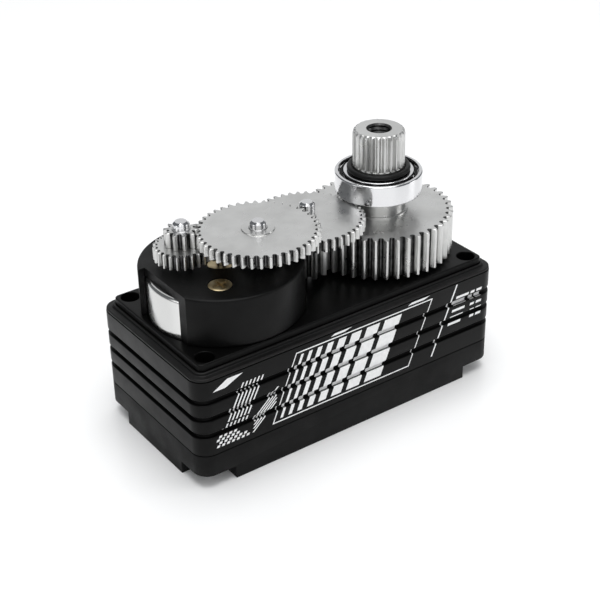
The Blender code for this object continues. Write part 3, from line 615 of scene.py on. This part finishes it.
def nickel_can():
    """Drawn steel with a nickel flash: fine lines run along the draw."""
    look = Look("nickel_can", (0.68, 0.68, 0.67), 0.2, metallic=1.0)
    look.vary_roughness(look.noise(2.5), 0.16, 0.26)
    look.bump(look.noise(0.2, stretch=(1, 1, 14)), 0.002)
    return look.material


def brass(name, axis):
    look = Look(f"brass_{name}", (0.52, 0.42, 0.25), 0.34, metallic=1.0)
    look.vary_colour(look.noise(0.9), (0.38, 0.3, 0.17), (0.6, 0.5, 0.31))
    look.vary_roughness(look.noise(0.4), 0.28, 0.44)
    look.bump(look.rings(axis, 0.1), 0.004)
    return look.material


def screen_ink():
    """White screen-print ink, thin enough for the metal's grain to show through."""
    look = Look("white_ink", grey(0.92), 0.5)
    look.vary_colour(look.noise(0.5), grey(0.88), grey(0.96))
    look.vary_roughness(look.noise(1.0), 0.45, 0.6)
    look.bump(look.noise(0.09), 0.003)
    return look.material


def magnet_grey():
    look = Look("magnet", grey(0.22), 0.4, metallic=1.0)
    look.vary_colour(look.noise(0.6), grey(0.17), grey(0.27))
    look.bump(look.noise(0.2), 0.006)
    return look.material


def wound_copper():
    """Enamelled wire, wound at a slant."""
    look = Look("copper_winding", (0.6, 0.25, 0.12), 0.3, metallic=1.0)
    wave = look.node("ShaderNodeTexWave", bands_direction="DIAGONAL")
    wave.inputs["Scale"].default_value = PER_METRE / 4
    look.wire(look.place, wave.inputs["Vector"])
    look.vary_colour(wave.outputs["Fac"], (0.4, 0.14, 0.06), (0.68, 0.32, 0.17))
    look.bump(wave.outputs["Fac"], 0.05)
    return look.material


def solder_mask():
    look = Look("green_solder_mask", (0.01, 0.12, 0.05), 0.3)
    tracks = look.noise(1.8, detail=0.0)
    look.vary_colour(tracks, (0.006, 0.09, 0.035), (0.016, 0.15, 0.065), 0.48, 0.52)
    look.bump(tracks, 0.02)
    return look.material


def moulded_epoxy():
    look = Look("black_epoxy", grey(0.02), 0.5)
    look.vary_roughness(look.noise(0.7), 0.42, 0.6)
    look.bump(look.noise(0.1), 0.006)
    return look.material


def potentiometer_blue():
    look = Look("moulded_blue", (0.03, 0.06, 0.2), 0.45)
    look.vary_colour(look.noise(2.0), (0.025, 0.05, 0.17), (0.04, 0.075, 0.24))
    look.bump(look.noise(0.15), 0.01)
    return look.material


def white_floor():
    """A pale glossy sweep that holds a faint reflection."""
    look = Look("studio_floor", grey(0.98), 0.22, specular=0.35)
    look.vary_roughness(look.noise(40.0), 0.2, 0.25)
    return look.material


ANODISED = black_anodised()
HOLDER_NYLON = black_nylon("black_nylon", 0.42, 0.16)
COVER_NYLON = black_nylon("black_nylon_cover", 0.5, 0.12)
RUBBER = black_rubber()
INK = screen_ink()
# Darker steel for the tooth gaps and the thread: painted shade
GAP_SHADE_STEEL = shaded_gap_steel()


# Case


def case_profile():
    """(inset, height) points up the outside of the middle case, grooves included."""
    profile = [(SKIN, SEAM)]
    for below in GROOVE_BELOW_DECK:
        middle = DECK - below
        low = middle - GROOVE_HEIGHT / 2
        high = middle + GROOVE_HEIGHT / 2
        profile += [(SKIN, low), (GROOVE_DEPTH, low), (GROOVE_DEPTH, high), (SKIN, high)]
    profile.append((SKIN, LEDGE))
    return rounded(profile, GROOVE_ROUNDING)


def screw_places():
    x = HALF_LENGTH - SCREW_INSET[0]
    y = HALF_WIDTH - SCREW_INSET[1]
    return [(sx * x, sy * y) for sx in (-1, 1) for sy in (-1, 1)]


def pocket(bottom, top):
    """Two crossing boxes that hollow the inside and leave a post in each corner."""
    for cut_x, cut_y in ((CASE_WALL, SCREW_POST), (SCREW_POST, CASE_WALL)):
        x = HALF_LENGTH - cut_x
        y = HALF_WIDTH - cut_y
        yield slab((-x, x), (-y, y), (bottom, top))


def flared_hole(place, radius, bottom, top, flare):
    wide = radius + flare
    profile = [(radius, bottom), (radius, top - flare), (wide, top), (wide, top + OVERSHOOT)]
    return lathe(profile, place, SMALL_STEPS)


def middle_case():
    rings = [at_height(case_outline(inset), height) for inset, height in case_profile()]
    deck_edge = [(DECK_INSET, LEDGE), (DECK_INSET, DECK), (DECK_INSET + 1.0, DECK)]
    rings += [at_height(case_outline(inset), height) for inset, height in rounded(deck_edge, EDGE_ROUNDING)]
    cutters = list(pocket(SEAM - OVERSHOOT, DECK - DECK_THICKNESS))
    cutters.append(flared_hole(MOTOR_AXIS, CAN_RADIUS + CAN_SIDE_GAP, SEAM - OVERSHOOT, DECK, EDGE_ROUNDING))
    cutters.append(flared_hole(OUTPUT_AXIS, SHAFT_SEAT_RADIUS, DECK - SHAFT_SEAT_DEPTH, DECK, EDGE_ROUNDING))
    for place in screw_places():
        cutters.append(flared_hole(place, SCREW_HOLE_RADIUS, SEAM - OVERSHOOT, DECK, SCREW_HOLE_FLARE))
    piece("case_shell", [loft(rings)], ANODISED, "case", "middle_case", cutters)


def bottom_cover():
    edge = EDGE_ROUNDING
    profile = rounded([(edge, 0.0), (SKIN, 0.0), (SKIN, COVER_TOP), (edge, COVER_TOP)], edge / 2)
    rings = [at_height(case_outline(inset), height) for inset, height in profile]
    cutters = list(pocket(COVER_FLOOR, COVER_TOP + OVERSHOOT))
    for sx in (-1, 1):
        for sy in (-1, 1):
            notch_x = sorted((sx * (HALF_LENGTH - FOOT_NOTCH), sx * (HALF_LENGTH + OVERSHOOT)))
            notch_y = sorted((sy * (HALF_WIDTH - FOOT_NOTCH), sy * (HALF_WIDTH + OVERSHOOT)))
            cutters.append(slab(notch_x, notch_y, (-OVERSHOOT, FOOT_NOTCH_HEIGHT)))
    hole = [(SCREW_HOLE_RADIUS, COVER_HOLE_BOTTOM), (SCREW_HOLE_RADIUS, SEAM)]
    for place in screw_places():
        cutters.append(lathe(hole, place, SMALL_STEPS))
    inlet_x = (HALF_LENGTH - CASE_WALL - OVERSHOOT, HALF_LENGTH + OVERSHOOT)
    cutters.append(slab(inlet_x, (-INLET_HALF_WIDTH, INLET_HALF_WIDTH), INLET_HEIGHTS))
    piece("cover_shell", [loft(rings)], COVER_NYLON, "case", "bottom_cover", cutters, bevel=COVER_BEVEL)


def top_gasket():
    low, high = box_mm("top_gasket")
    flat_top = low.z + GASKET_THICKNESS
    inner = DECK_INSET - GASKET_GAP
    bead = inner - GASKET_BEAD
    section = [
        (inner, low.z),
        (GASKET_SET_BACK, low.z),
        (GASKET_SET_BACK, flat_top),
        (bead, flat_top),
        (bead, high.z),
        (inner, high.z),
    ]
    section = rounded(section, GASKET_ROUNDING, closed=True)
    rings = [at_height(case_outline(inset), height) for inset, height in section]
    piece("gasket_ring", [loft(rings, closed=True)], RUBBER, "case", "top_gasket")


# Print on the front wall: bars whose sides lean the same way, following the wall into the grooves


BAR_LEAN = 0.42
PRINT_BOTTOM = 4.95
PRINT_TOP = DECK - 2.1
PRINT_BACK = 0.02
FINE_LINE = 0.13
STRIPES_LEFT = -17.4
STRIPE_LEAN = 0.5
STRIPE_PITCH = 0.5
STRIPE_WIDTH = 0.18
STRIPE_COUNT = 6
STRIPE_DASHES = ((6.7, 7.5), (7.7, 8.9), (9.1, 10.7), (10.9, 11.8))
CHEQUER_LEFT = STRIPES_LEFT - 1.0
CHEQUER_ROWS = 4
CHEQUER_COLUMNS = 7
CHEQUER_PITCH = (0.62, 0.38)
CHEQUER_SQUARE = (0.34, 0.27)
FAN_COUNT = 5
FAN_START = (-13.9, PRINT_BOTTOM + 0.1)
FAN_STEP = (0.08, 0.45)
FAN_SIZE = (0.2, 2.7)
DASH_ROWS = 5
DASH_START = (13.3, 8.2)
DASH_STEP = (0.28, 0.8)
DASH_LENGTH = 1.9
SHORT_DASHES = ((16.6, 17.2), (17.5, 18.3))
DASH_HEIGHT = 0.3
DASH_LEAN = 0.3
SLASH = (10.9, 11.1)
SLASH_TOP = PRINT_TOP + 0.5
FAN_LEAN = 1.13
PANEL = (-11.3, 7.6)
PANEL_MARGIN = 0.42
FIRST_BAR = 0.34
BAR_GAP = 0.72
BAR_GROWTH = 1.32


def wall_heights(low, high):
    """The case profile between two heights, its cut ends included."""
    profile = case_profile()
    inside = [(inset, height) for inset, height in profile if low < height < high]
    ends = []
    for wanted in (low, high):
        nearest = min(profile, key=lambda point: abs(point[1] - wanted))
        ends.append((nearest[0], wanted))
    return [ends[0], *inside, ends[1]]


def leaning_bar(left, right, low, high, lean=BAR_LEAN, right_lean=None):
    """A thin printed bar. Left and right are its ends along X at its lowest height."""
    right_lean = lean if right_lean is None else right_lean
    rings = []
    for inset, height in wall_heights(low, high):
        front = -(HALF_WIDTH - inset) - SKIN
        back = front + SKIN + PRINT_BACK
        rise = height - low
        x = (left + rise * lean, right + rise * right_lean)
        corners = ((x[0], front), (x[1], front), (x[1], back), (x[0], back))
        rings.append(at_height(corners, height))
    return loft(rings)


def bar_frame(left, right, low, high, line):
    """The outline of a leaning bar."""
    rise = high - low
    yield leaning_bar(left, left + line, low, high)
    yield leaning_bar(right - line, right, low, high)
    yield leaning_bar(left + line, right - line, low, low + line)
    shift = (rise - line) * BAR_LEAN
    yield leaning_bar(left + line + shift, right - line + shift, high - line, high)


def stripes():
    """Thin leaning lines, each broken into dashes, that run down into a fading chequer."""
    foot = STRIPE_DASHES[0][0]
    for number in range(STRIPE_COUNT):
        start = STRIPES_LEFT + number * STRIPE_PITCH
        for low, high in STRIPE_DASHES:
            left = start + (low - foot) * STRIPE_LEAN
            yield leaning_bar(left, left + STRIPE_WIDTH, low, high, lean=STRIPE_LEAN)
    pitch, rise = CHEQUER_PITCH
    width, height = CHEQUER_SQUARE
    for row in range(CHEQUER_ROWS):
        low = PRINT_BOTTOM + row * rise
        for column in range(CHEQUER_COLUMNS - row):
            start = CHEQUER_LEFT + column * pitch + (row % 2) * pitch / 2
            yield leaning_bar(start, start + width, low, low + height)


def fan():
    """Shallow leaning lines between the thin stripes and the panel."""
    width, height = FAN_SIZE
    for number in range(FAN_COUNT):
        start = FAN_START[0] + number * FAN_STEP[0]
        low = FAN_START[1] + number * FAN_STEP[1]
        yield leaning_bar(start, start + width, low, low + height, lean=FAN_LEAN)


def striped_panel():
    """A long leaning outline, filled with bars that widen along it."""
    left, right = PANEL
    yield from bar_frame(left, right, PRINT_BOTTOM, PRINT_TOP, FINE_LINE)
    low = PRINT_BOTTOM + PANEL_MARGIN
    high = PRINT_TOP - PANEL_MARGIN
    start = left + PANEL_MARGIN * (2 + BAR_LEAN)
    width = FIRST_BAR
    while start + width < right - PANEL_MARGIN:
        yield leaning_bar(start, start + width, low, high)
        start += width + BAR_GAP
        width *= BAR_GROWTH


def side_marks():
    """A long thin slash with short level dashes beside it."""
    yield leaning_bar(*SLASH, PRINT_BOTTOM, SLASH_TOP)
    for number in range(DASH_ROWS):
        start = DASH_START[0] + number * DASH_STEP[0]
        low = DASH_START[1] + number * DASH_STEP[1]
        for left, right in ((start, start + DASH_LENGTH), *SHORT_DASHES):
            yield leaning_bar(left, right, low, low + DASH_HEIGHT, lean=DASH_LEAN)


def flashes():
    """Tapered flecks along the top of the print."""
    yield leaning_bar(-18.5, -17.0, 12.05, PRINT_TOP + 0.25, lean=1.8, right_lean=2.2)
    yield leaning_bar(-3.4, -1.6, 13.05, 13.3, lean=2.0, right_lean=4.0)
    yield leaning_bar(7.3, 9.6, 13.05, 13.3, lean=2.0, right_lean=3.4)


def front_print():
    marks = [*stripes(), *fan(), *striped_panel(), *side_marks(), *flashes()]
    piece("front_print", marks, INK, "case", None)


# Motor, holder and screws


def motor_holder():
    top = DECK + HOLDER_TOP_ABOVE
    can_top = DECK + CAN_TOP_ABOVE
    bottom = box_mm("motor_holder")[0].z
    inside = HOLDER_RADIUS - OVERSHOOT
    profile = [(inside, bottom), (HOLDER_RADIUS, bottom), (HOLDER_RADIUS, top), (inside, top)]
    through = (can_top - OVERSHOOT, top + OVERSHOOT)
    cutters = [
        lathe([(HOLDER_BORE, bottom - OVERSHOOT), (HOLDER_BORE, can_top + CAN_END_GAP)], MOTOR_AXIS),
        lathe([(HOLDER_NOSE_HOLE, height) for height in through], MOTOR_AXIS),
        lathe([(HOLDER_RELIEF, bottom - OVERSHOOT), (HOLDER_RELIEF, top + OVERSHOOT)], THIRD_AXIS),
        slab((WINDOW_X - WINDOW_DEPTH, WINDOW_X), WINDOW_Y, (bottom - OVERSHOOT, top + OVERSHOOT)),
    ]
    for axis in (FIRST_AXIS, SECOND_AXIS):
        cutters.append(lathe([(PIN_HOLE_RADIUS, height) for height in through], axis, SMALL_STEPS))
    for node in ("motor_screw_front", "motor_screw_rear"):
        centre, radius, _ = screw_size(node)
        cutters.append(lathe([(radius + SCREW_HEAD_GAP, height) for height in through], centre, SMALL_STEPS))
    turned = lathe(rounded(profile, HOLDER_EDGE), MOTOR_AXIS)
    piece("holder_shell", [turned], HOLDER_NYLON, "case", "motor_holder", cutters, bevel=HOLDER_BEVEL)


def screw_size(node):
    low, high = box_mm(node)
    return ((low.x + high.x) / 2, (low.y + high.y) / 2), (high.x - low.x) / 2, (low.z, high.z)


def motor_screws():
    """Pan heads with a Phillips recess."""
    for node in ("motor_screw_front", "motor_screw_rear"):
        centre, radius, (bottom, top) = screw_size(node)
        profile = [(radius, bottom)]
        profile += [(radius * share, top - drop) for share, drop in SCREW_CROWN]
        x, y = centre
        arm = PHILLIPS_ARM
        half = PHILLIPS_WIDTH / 2
        depth = (top - PHILLIPS_DEPTH, top + OVERSHOOT)
        cutters = [
            slab((x - arm, x + arm), (y - half, y + half), depth),
            slab((x - half, x + half), (y - arm, y + arm), depth),
        ]
        look = brass(node, centre)
        head = [lathe(profile, centre, SMALL_STEPS)]
        piece(f"{node}_head", head, look, "case", node, cutters, bevel=SCREW_BEVEL)


def motor_can():
    top = DECK + CAN_TOP_ABOVE
    bottom = box_mm("motor_can")[0].z
    inner = CAN_RADIUS - CAN_WALL
    corner = [
        (CAN_RADIUS - CAN_EDGE * (1 - math.sin(turn)), top - CAN_EDGE * (1 - math.cos(turn)))
        for turn in (math.pi / 2 * step / CAN_EDGE_STEPS for step in range(CAN_EDGE_STEPS + 1))
    ]
    profile = [(CAN_FRONT_BORE, top), *corner, (CAN_RADIUS, bottom), (inner, bottom)]
    profile += [(inner, top - CAN_WALL), (CAN_FRONT_BORE, top - CAN_WALL)]
    piece("can_shell", [lathe(profile, MOTOR_AXIS, closed=True)], nickel_can(), "case", "motor_can")


# Gear train


def gear_pair(name, axis, phase, upstream, wheel_above, downstream, pinion_above, look, rise=0.0):
    """A wheel and its pinion, which share a bore and turn as one."""
    _, wheel_teeth, wheel_module = upstream
    pinion_teeth, _, pinion_module = downstream
    large = gear_outline(wheel_teeth, wheel_module, -PINION_SHIFT, axis, phase)
    small = gear_outline(pinion_teeth, pinion_module, PINION_SHIFT, axis, phase)
    skins = [wheel(large, axis, DECK + wheel_above[0], DECK + wheel_above[1], rise)]
    skins.append(wheel(small, axis, DECK + pinion_above[0], DECK + pinion_above[1]))
    made = piece(f"{name}_teeth", skins, look, name, name)
    # Painted shade in the tooth gaps of the wheel and the pinion
    paint_gap_shade(made, axis, [tooth_gap(large, axis, wheel_module), tooth_gap(small, axis, pinion_module)])


def tooth_gap(outline, axis, module):
    """How near and how far from the axis the foot of the teeth lies."""
    root = min(math.hypot(x - axis[0], y - axis[1]) for x, y in outline)
    return root - SHADE_REACH * module / 2, root + SHADE_REACH * module


def gears():
    low, high = FIRST_GEAR_ABOVE
    first = gear_steel("first", FIRST_AXIS)
    above = (high, FIRST_PINION_TOP)
    gear_pair("first_gear", FIRST_AXIS, FIRST_PHASE, FIRST_MESH, (low, high), SECOND_MESH, above, first)
    low, high = SECOND_GEAR_ABOVE
    second = gear_steel("second", SECOND_AXIS)
    below = (SECOND_PINION_BOTTOM, low)
    rise = RAISED_RING[1]
    around = (SECOND_AXIS, SECOND_PHASE)
    gear_pair("second_gear", *around, SECOND_MESH, (low, high), THIRD_MESH, below, second, rise)
    low, high = THIRD_GEAR_ABOVE
    third = gear_steel("third", THIRD_AXIS)
    below = (THIRD_PINION_BOTTOM, low)
    gear_pair("third_gear", THIRD_AXIS, THIRD_PHASE, THIRD_MESH, (low, high), LAST_MESH, below, third)


def gear_pins():
    """Fixed steel pins with chamfered ends."""
    for node, axis in (
        ("first_gear_pin", FIRST_AXIS),
        ("second_gear_pin", SECOND_AXIS),
        ("third_gear_pin", THIRD_AXIS),
    ):
        low, high = box_mm(node)
        edge = PIN_RADIUS - PIN_CHAMFER
        profile = [(PIN_RADIUS, low.z), (PIN_RADIUS, high.z - PIN_CHAMFER), (edge, high.z)]
        skin = lathe(rounded(profile, PIN_ROUNDING), axis, SMALL_STEPS)
        piece(f"{node}_turned", [skin], polished_steel(node, axis), "case", node)


def motor_pinion():
    teeth, _, module = FIRST_MESH
    low, high = box_mm("motor_pinion")
    outline = gear_outline(teeth, module, PINION_SHIFT, MOTOR_AXIS, 0.0)
    face = moved_in(outline, TOOTH_CHAMFER)
    bore = drawn_to(outline, MOTOR_AXIS, PINION_BORE)
    rings = [
        at_height(bore, low.z),
        at_height(face, low.z),
        at_height(outline, low.z + TOOTH_CHAMFER),
        at_height(outline, high.z - TOOTH_CHAMFER),
        at_height(face, high.z),
        at_height(bore, high.z),
    ]
    look = brass("pinion", MOTOR_AXIS)
    piece("motor_pinion_teeth", [loft(rings, closed=True)], look, "motor_rotor", "motor_pinion")


def spline_outline():
    """25 vee teeth with small flats, as a servo horn's socket fits."""
    points = []
    pitch = math.tau / SPLINE_TEETH
    half_tip = 0.13
    half_root = 0.42
    for tooth in range(SPLINE_TEETH):
        middle = pitch * tooth
        for radius, part in (
            (SPLINE_ROOT_RADIUS, -half_root),
            (SPLINE_RADIUS, -half_tip),
            (SPLINE_RADIUS, half_tip),
            (SPLINE_ROOT_RADIUS, half_root),
        ):
            points.append(on_circle(OUTPUT_AXIS, radius, middle + pitch * part))
    return points


def capped(outline, radius):
    """The outline, with whatever stands further out than radius pulled in to it."""
    centre = Vector(OUTPUT_AXIS)
    made = []
    for point in outline:
        arm = Vector(point) - centre
        made.append(tuple(centre + arm * min(1.0, radius / arm.length)))
    return made


def splined_end():
    """The spline with its bevelled crown, and the threaded hole down its middle."""
    bottom, top = (DECK + above for above in SPLINE_ABOVE)
    outline = spline_outline()
    rings = [at_height(drawn_to(outline, OUTPUT_AXIS, THREAD_RADIUS), bottom), at_height(outline, bottom)]
    steps = 6
    reach = SPLINE_RADIUS - CROWN_RADIUS
    for step in range(steps + 1):
        turn = math.pi / 2 * step / steps
        radius = CROWN_RADIUS + reach * math.cos(turn) if step else SPLINE_RADIUS
        rings.append(at_height(capped(outline, radius), top - CROWN_HEIGHT * (1 - math.sin(turn))))
    rings.append(at_height(drawn_to(outline, OUTPUT_AXIS, THREAD_MOUTH_RADIUS), top))
    depth = THREAD_MOUTH_RADIUS - THREAD_RADIUS
    height = top - depth
    while height > bottom + THREAD_PITCH:
        rings.append(at_height(drawn_to(outline, OUTPUT_AXIS, THREAD_RADIUS), height))
        lower = height - THREAD_PITCH / 2
        rings.append(at_height(drawn_to(outline, OUTPUT_AXIS, THREAD_RADIUS + THREAD_RIDGE), lower))
        height -= THREAD_PITCH
    return loft(rings, closed=True)


def output_shaft():
    """The hub, collar and journals, bored for the horn's screw above and the sensor's shaft below."""
    wheel_low, wheel_top = OUTPUT_GEAR_ABOVE
    bearing_low, bearing_high = BEARING_ABOVE
    spline_low = SPLINE_ABOVE[0]
    foot_radius, foot_height = HUB_FOOT
    thread_floor = SPLINE_ABOVE[1] - THREAD_DEPTH
    section = [
        (SOCKET_CENTRE, thread_floor),
        (THREAD_RADIUS, thread_floor),
        (THREAD_RADIUS, spline_low),
        (COLLAR_RADIUS, spline_low),
        (COLLAR_RADIUS, bearing_high + COLLAR_GAP),
        (JOURNAL_RADIUS, bearing_high + COLLAR_GAP),
        (JOURNAL_RADIUS, bearing_low - JOURNAL_GAP),
        (HUB_RADIUS, bearing_low - JOURNAL_GAP),
        (HUB_RADIUS, wheel_top + foot_height),
        (foot_radius, wheel_top + foot_height),
        (foot_radius, wheel_low + HUB_SUNK),
        (LOWER_JOURNAL_RADIUS, wheel_low + HUB_SUNK),
        (LOWER_JOURNAL_RADIUS, -LOWER_JOURNAL_BELOW),
        (POT_SOCKET_RADIUS, -LOWER_JOURNAL_BELOW),
        (POT_SOCKET_RADIUS, POT_SOCKET_TOP - DECK),
        (SOCKET_CENTRE, POT_SOCKET_TOP - DECK),
    ]
    return lathe([(radius, DECK + above) for radius, above in rounded(section, SHAFT_ROUNDING)], OUTPUT_AXIS)


def output_gear():
    _, teeth, module = LAST_MESH
    low, high = (DECK + above for above in OUTPUT_GEAR_ABOVE)
    outline = gear_outline(teeth, module, -PINION_SHIFT, OUTPUT_AXIS, OUTPUT_PHASE)
    face = moved_in(outline, TOOTH_CHAMFER)
    inner = drawn_to(outline, OUTPUT_AXIS, HUB_RADIUS - HUB_SUNK)
    rings = [
        at_height(inner, low),
        at_height(face, low),
        at_height(outline, low + TOOTH_CHAMFER),
        at_height(outline, high - TOOTH_CHAMFER),
        at_height(face, high),
        at_height(inner, high),
    ]
    skins = [loft(rings, closed=True), output_shaft(), splined_end()]
    made = piece("output_gear_turned", skins, gear_steel("output", OUTPUT_AXIS), "output", "output_gear")
    # Painted shade in the tooth gaps and down the threaded hole
    thread = (0.0, THREAD_RADIUS + THREAD_RIDGE)
    paint_gap_shade(made, OUTPUT_AXIS, [tooth_gap(outline, OUTPUT_AXIS, module), thread])


# Bearing on the output shaft


def raceway(radius, deep, middle, steps=8):
    """Points down a ring's groove."""
    return [
        (radius + deep * math.sin(math.pi * i / steps), middle + RACE_RADIUS * math.cos(math.pi * i / steps))
        for i in range(steps + 1)
    ]


def output_bearing():
    low, high = (DECK + above for above in BEARING_ABOVE)
    middle = (low + high) / 2
    look = polished_steel("bearing", OUTPUT_AXIS)
    bore, edge = INNER_RING_RADII
    inner = [(bore, high), (edge, high), (edge, low), (bore, low)]
    inner = rounded(inner, INNER_RING_ROUNDING, closed=True)
    skin = lathe(inner, OUTPUT_AXIS, closed=True)
    piece("inner_ring_turned", [skin], look, "output", "output_bearing_inner_ring")
    bore, edge = OUTER_RING_RADII
    outer = [
        (bore, high),
        (edge - RING_CHAMFER, high),
        (edge, high - RING_CHAMFER),
        (edge, low + RING_CHAMFER),
        (edge - RING_CHAMFER, low),
        (bore, low),
        *raceway(bore, RACE_DEPTH, middle)[::-1],
    ]
    outer = rounded(outer, OUTER_RING_ROUNDING, closed=True)
    skin = lathe(outer, OUTPUT_AXIS, closed=True)
    piece("outer_ring_turned", [skin], look, "bearing_outer", "output_bearing_outer_ring")


def seal_ring():
    low, high = box_mm("output_seal_ring")
    inner = COLLAR_RADIUS + SEAL_GAP
    outer = (high.x - low.x) / 2
    radius, height = (inner + outer) / 2, (low.z + high.z) / 2
    wide, tall = (outer - inner) / 2, (high.z - low.z) / 2
    turns = [math.tau * i / SEAL_STEPS for i in range(SEAL_STEPS)]
    section = [(radius + wide * math.cos(turn), height + tall * math.sin(turn)) for turn in turns]
    skin = lathe(section, OUTPUT_AXIS, closed=True)
    piece("seal_ring_moulded", [skin], RUBBER, "output", "output_seal_ring")


# CAD nodes that keep their own shape


def dress(node, look, smoothing=0):
    thing = frame["nodes"][node]
    thing.data.materials.clear()
    thing.data.materials.append(look)
    weld = thing.modifiers.new("weld", "WELD")
    weld.merge_threshold = WELD_DISTANCE
    if smoothing:
        change = thing.modifiers.new("round", "SUBSURF")
        change.levels = smoothing
        change.render_levels = smoothing
    else:
        change = thing.modifiers.new("edges", "BEVEL")
        change.width = NODE_BEVEL * MM
        change.segments = EDGE_SEGMENTS
        change.limit_method = "ANGLE"
        change.angle_limit = EDGE_ANGLE


def dress_the_rest():
    ball = polished_steel("balls", OUTPUT_AXIS)
    plain = gear_steel("small", OUTPUT_AXIS)
    motor_brass = brass("motor", MOTOR_AXIS)
    copper = wound_copper()
    epoxy = moulded_epoxy()
    looks = {
        "cable_grommet": RUBBER,
        "bottom_gasket": RUBBER,
        "circuit_board": solder_mask(),
        "controller_chip": epoxy,
        "driver_chip_left": epoxy,
        "driver_chip_right": epoxy,
        "capacitor": motor_brass,
        "lower_bearing_cage": plain,
        "lower_bearing_inner_ring": ball,
        "lower_bearing_outer_ring": ball,
        "motor_coil": copper,
        "motor_commutator": copper,
        "motor_end_cap": COVER_NYLON,
        "motor_front_bush": motor_brass,
        "motor_rear_bush": motor_brass,
        "motor_magnet": magnet_grey(),
        "motor_shaft": plain,
        "motor_terminal_left": motor_brass,
        "motor_terminal_right": motor_brass,
        "output_bearing_cage": HOLDER_NYLON,
        "potentiometer_body": potentiometer_blue(),
        "potentiometer_shaft": plain,
    }
    for node, look in looks.items():
        dress(node, look)
    for node in frame["nodes"]:
        if node.startswith("output_bearing_ball"):
            dress(node, ball, smoothing=2)


# Studio


AIM = (0.0, 0.0, DECK)
CAMERA_AZIMUTH = math.radians(-35.172)
CAMERA_ELEVATION = math.radians(30.391)
CAMERA_ROLL = math.radians(-1.115)
CAMERA_DISTANCE = 154.576
CAMERA_PAN = (-0.226, -2.725)
CAMERA_LENS = 82.067
SOFTBOXES = (  # azimuth and elevation in degrees, distance and size in metres, watts
    ("overhead", 0, 88, 0.6, 0.5, 3.0),
    ("front", -25, 35, 0.8, 0.9, 2.4),
    ("behind", 145, 32, 0.9, 1.3, 3.2),
    ("left", -95, 25, 0.6, 0.3, 0.4),
    ("front_right", 60, 20, 0.7, 0.25, 0.5),
)
FLOOR_REACH = 3000
FLOOR_HEIGHTS = (-2.0, -0.01)
SKY_COLOUR = (0.9, 0.95, 1.0, 1.0)
SKY_STRENGTH = 0.16


def camera():
    azimuth = CAMERA_AZIMUTH
    level = math.cos(CAMERA_ELEVATION)
    back = Vector((math.sin(azimuth) * level, -math.cos(azimuth) * level, math.sin(CAMERA_ELEVATION)))
    right = Vector((math.cos(azimuth), math.sin(azimuth), 0.0))
    up = back.cross(right)
    place = Vector(AIM) + back * CAMERA_DISTANCE + right * CAMERA_PAN[0] + up * CAMERA_PAN[1]
    rolled_right = right * math.cos(CAMERA_ROLL) + up * math.sin(CAMERA_ROLL)
    rolled_up = up * math.cos(CAMERA_ROLL) - right * math.sin(CAMERA_ROLL)
    turned = Matrix((rolled_right, rolled_up, back)).transposed()
    data = bpy.data.cameras.new("camera")
    data.lens = CAMERA_LENS
    data.clip_start = 0.005
    data.clip_end = 20.0
    made = bpy.data.objects.new("camera", data)
    made.matrix_world = Matrix.Translation(place * MM) @ turned.to_4x4()
    bpy.context.scene.collection.objects.link(made)
    bpy.context.scene.camera = made


def softbox(name, azimuth, elevation, distance, size, watts):
    """A square soft light aimed at the object. Azimuth 0 faces the front wall, and 90 the right end."""
    turn = math.radians(azimuth)
    rise = math.radians(elevation)
    level = math.cos(rise)
    way = Vector((math.sin(turn) * level, -math.cos(turn) * level, math.sin(rise)))
    data = bpy.data.lights.new(name, "AREA")
    data.size = size
    data.energy = watts
    made = bpy.data.objects.new(name, data)
    made.location = way * distance + Vector(AIM) * MM
    made.rotation_euler = way.to_track_quat("Z", "Y").to_euler()
    bpy.context.scene.collection.objects.link(made)


def studio():
    floor = thing_of("floor", [slab((-FLOOR_REACH, FLOOR_REACH), (-FLOOR_REACH, FLOOR_REACH), FLOOR_HEIGHTS)])
    floor.data.materials.append(white_floor())
    floor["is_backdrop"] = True
    for name, *settings in SOFTBOXES:
        softbox(name, *settings)
    world = bpy.data.worlds.new("studio")
    world.use_nodes = True
    world.node_tree.nodes["Background"].inputs["Color"].default_value = SKY_COLOUR
    world.node_tree.nodes["Background"].inputs["Strength"].default_value = SKY_STRENGTH
    bpy.context.scene.world = world
    bpy.context.scene.view_settings.view_transform = "Standard"


camera()
middle_case()
bottom_cover()
top_gasket()
front_print()
motor_holder()
motor_screws()
motor_can()
gears()
gear_pins()
motor_pinion()
output_gear()
output_bearing()
seal_ring()
dress_the_rest()
studio()

boxes = {"cad": CAD_BOX, "visual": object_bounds()}
{name: [list(corner) for corner in box] for name, box in boxes.items()}
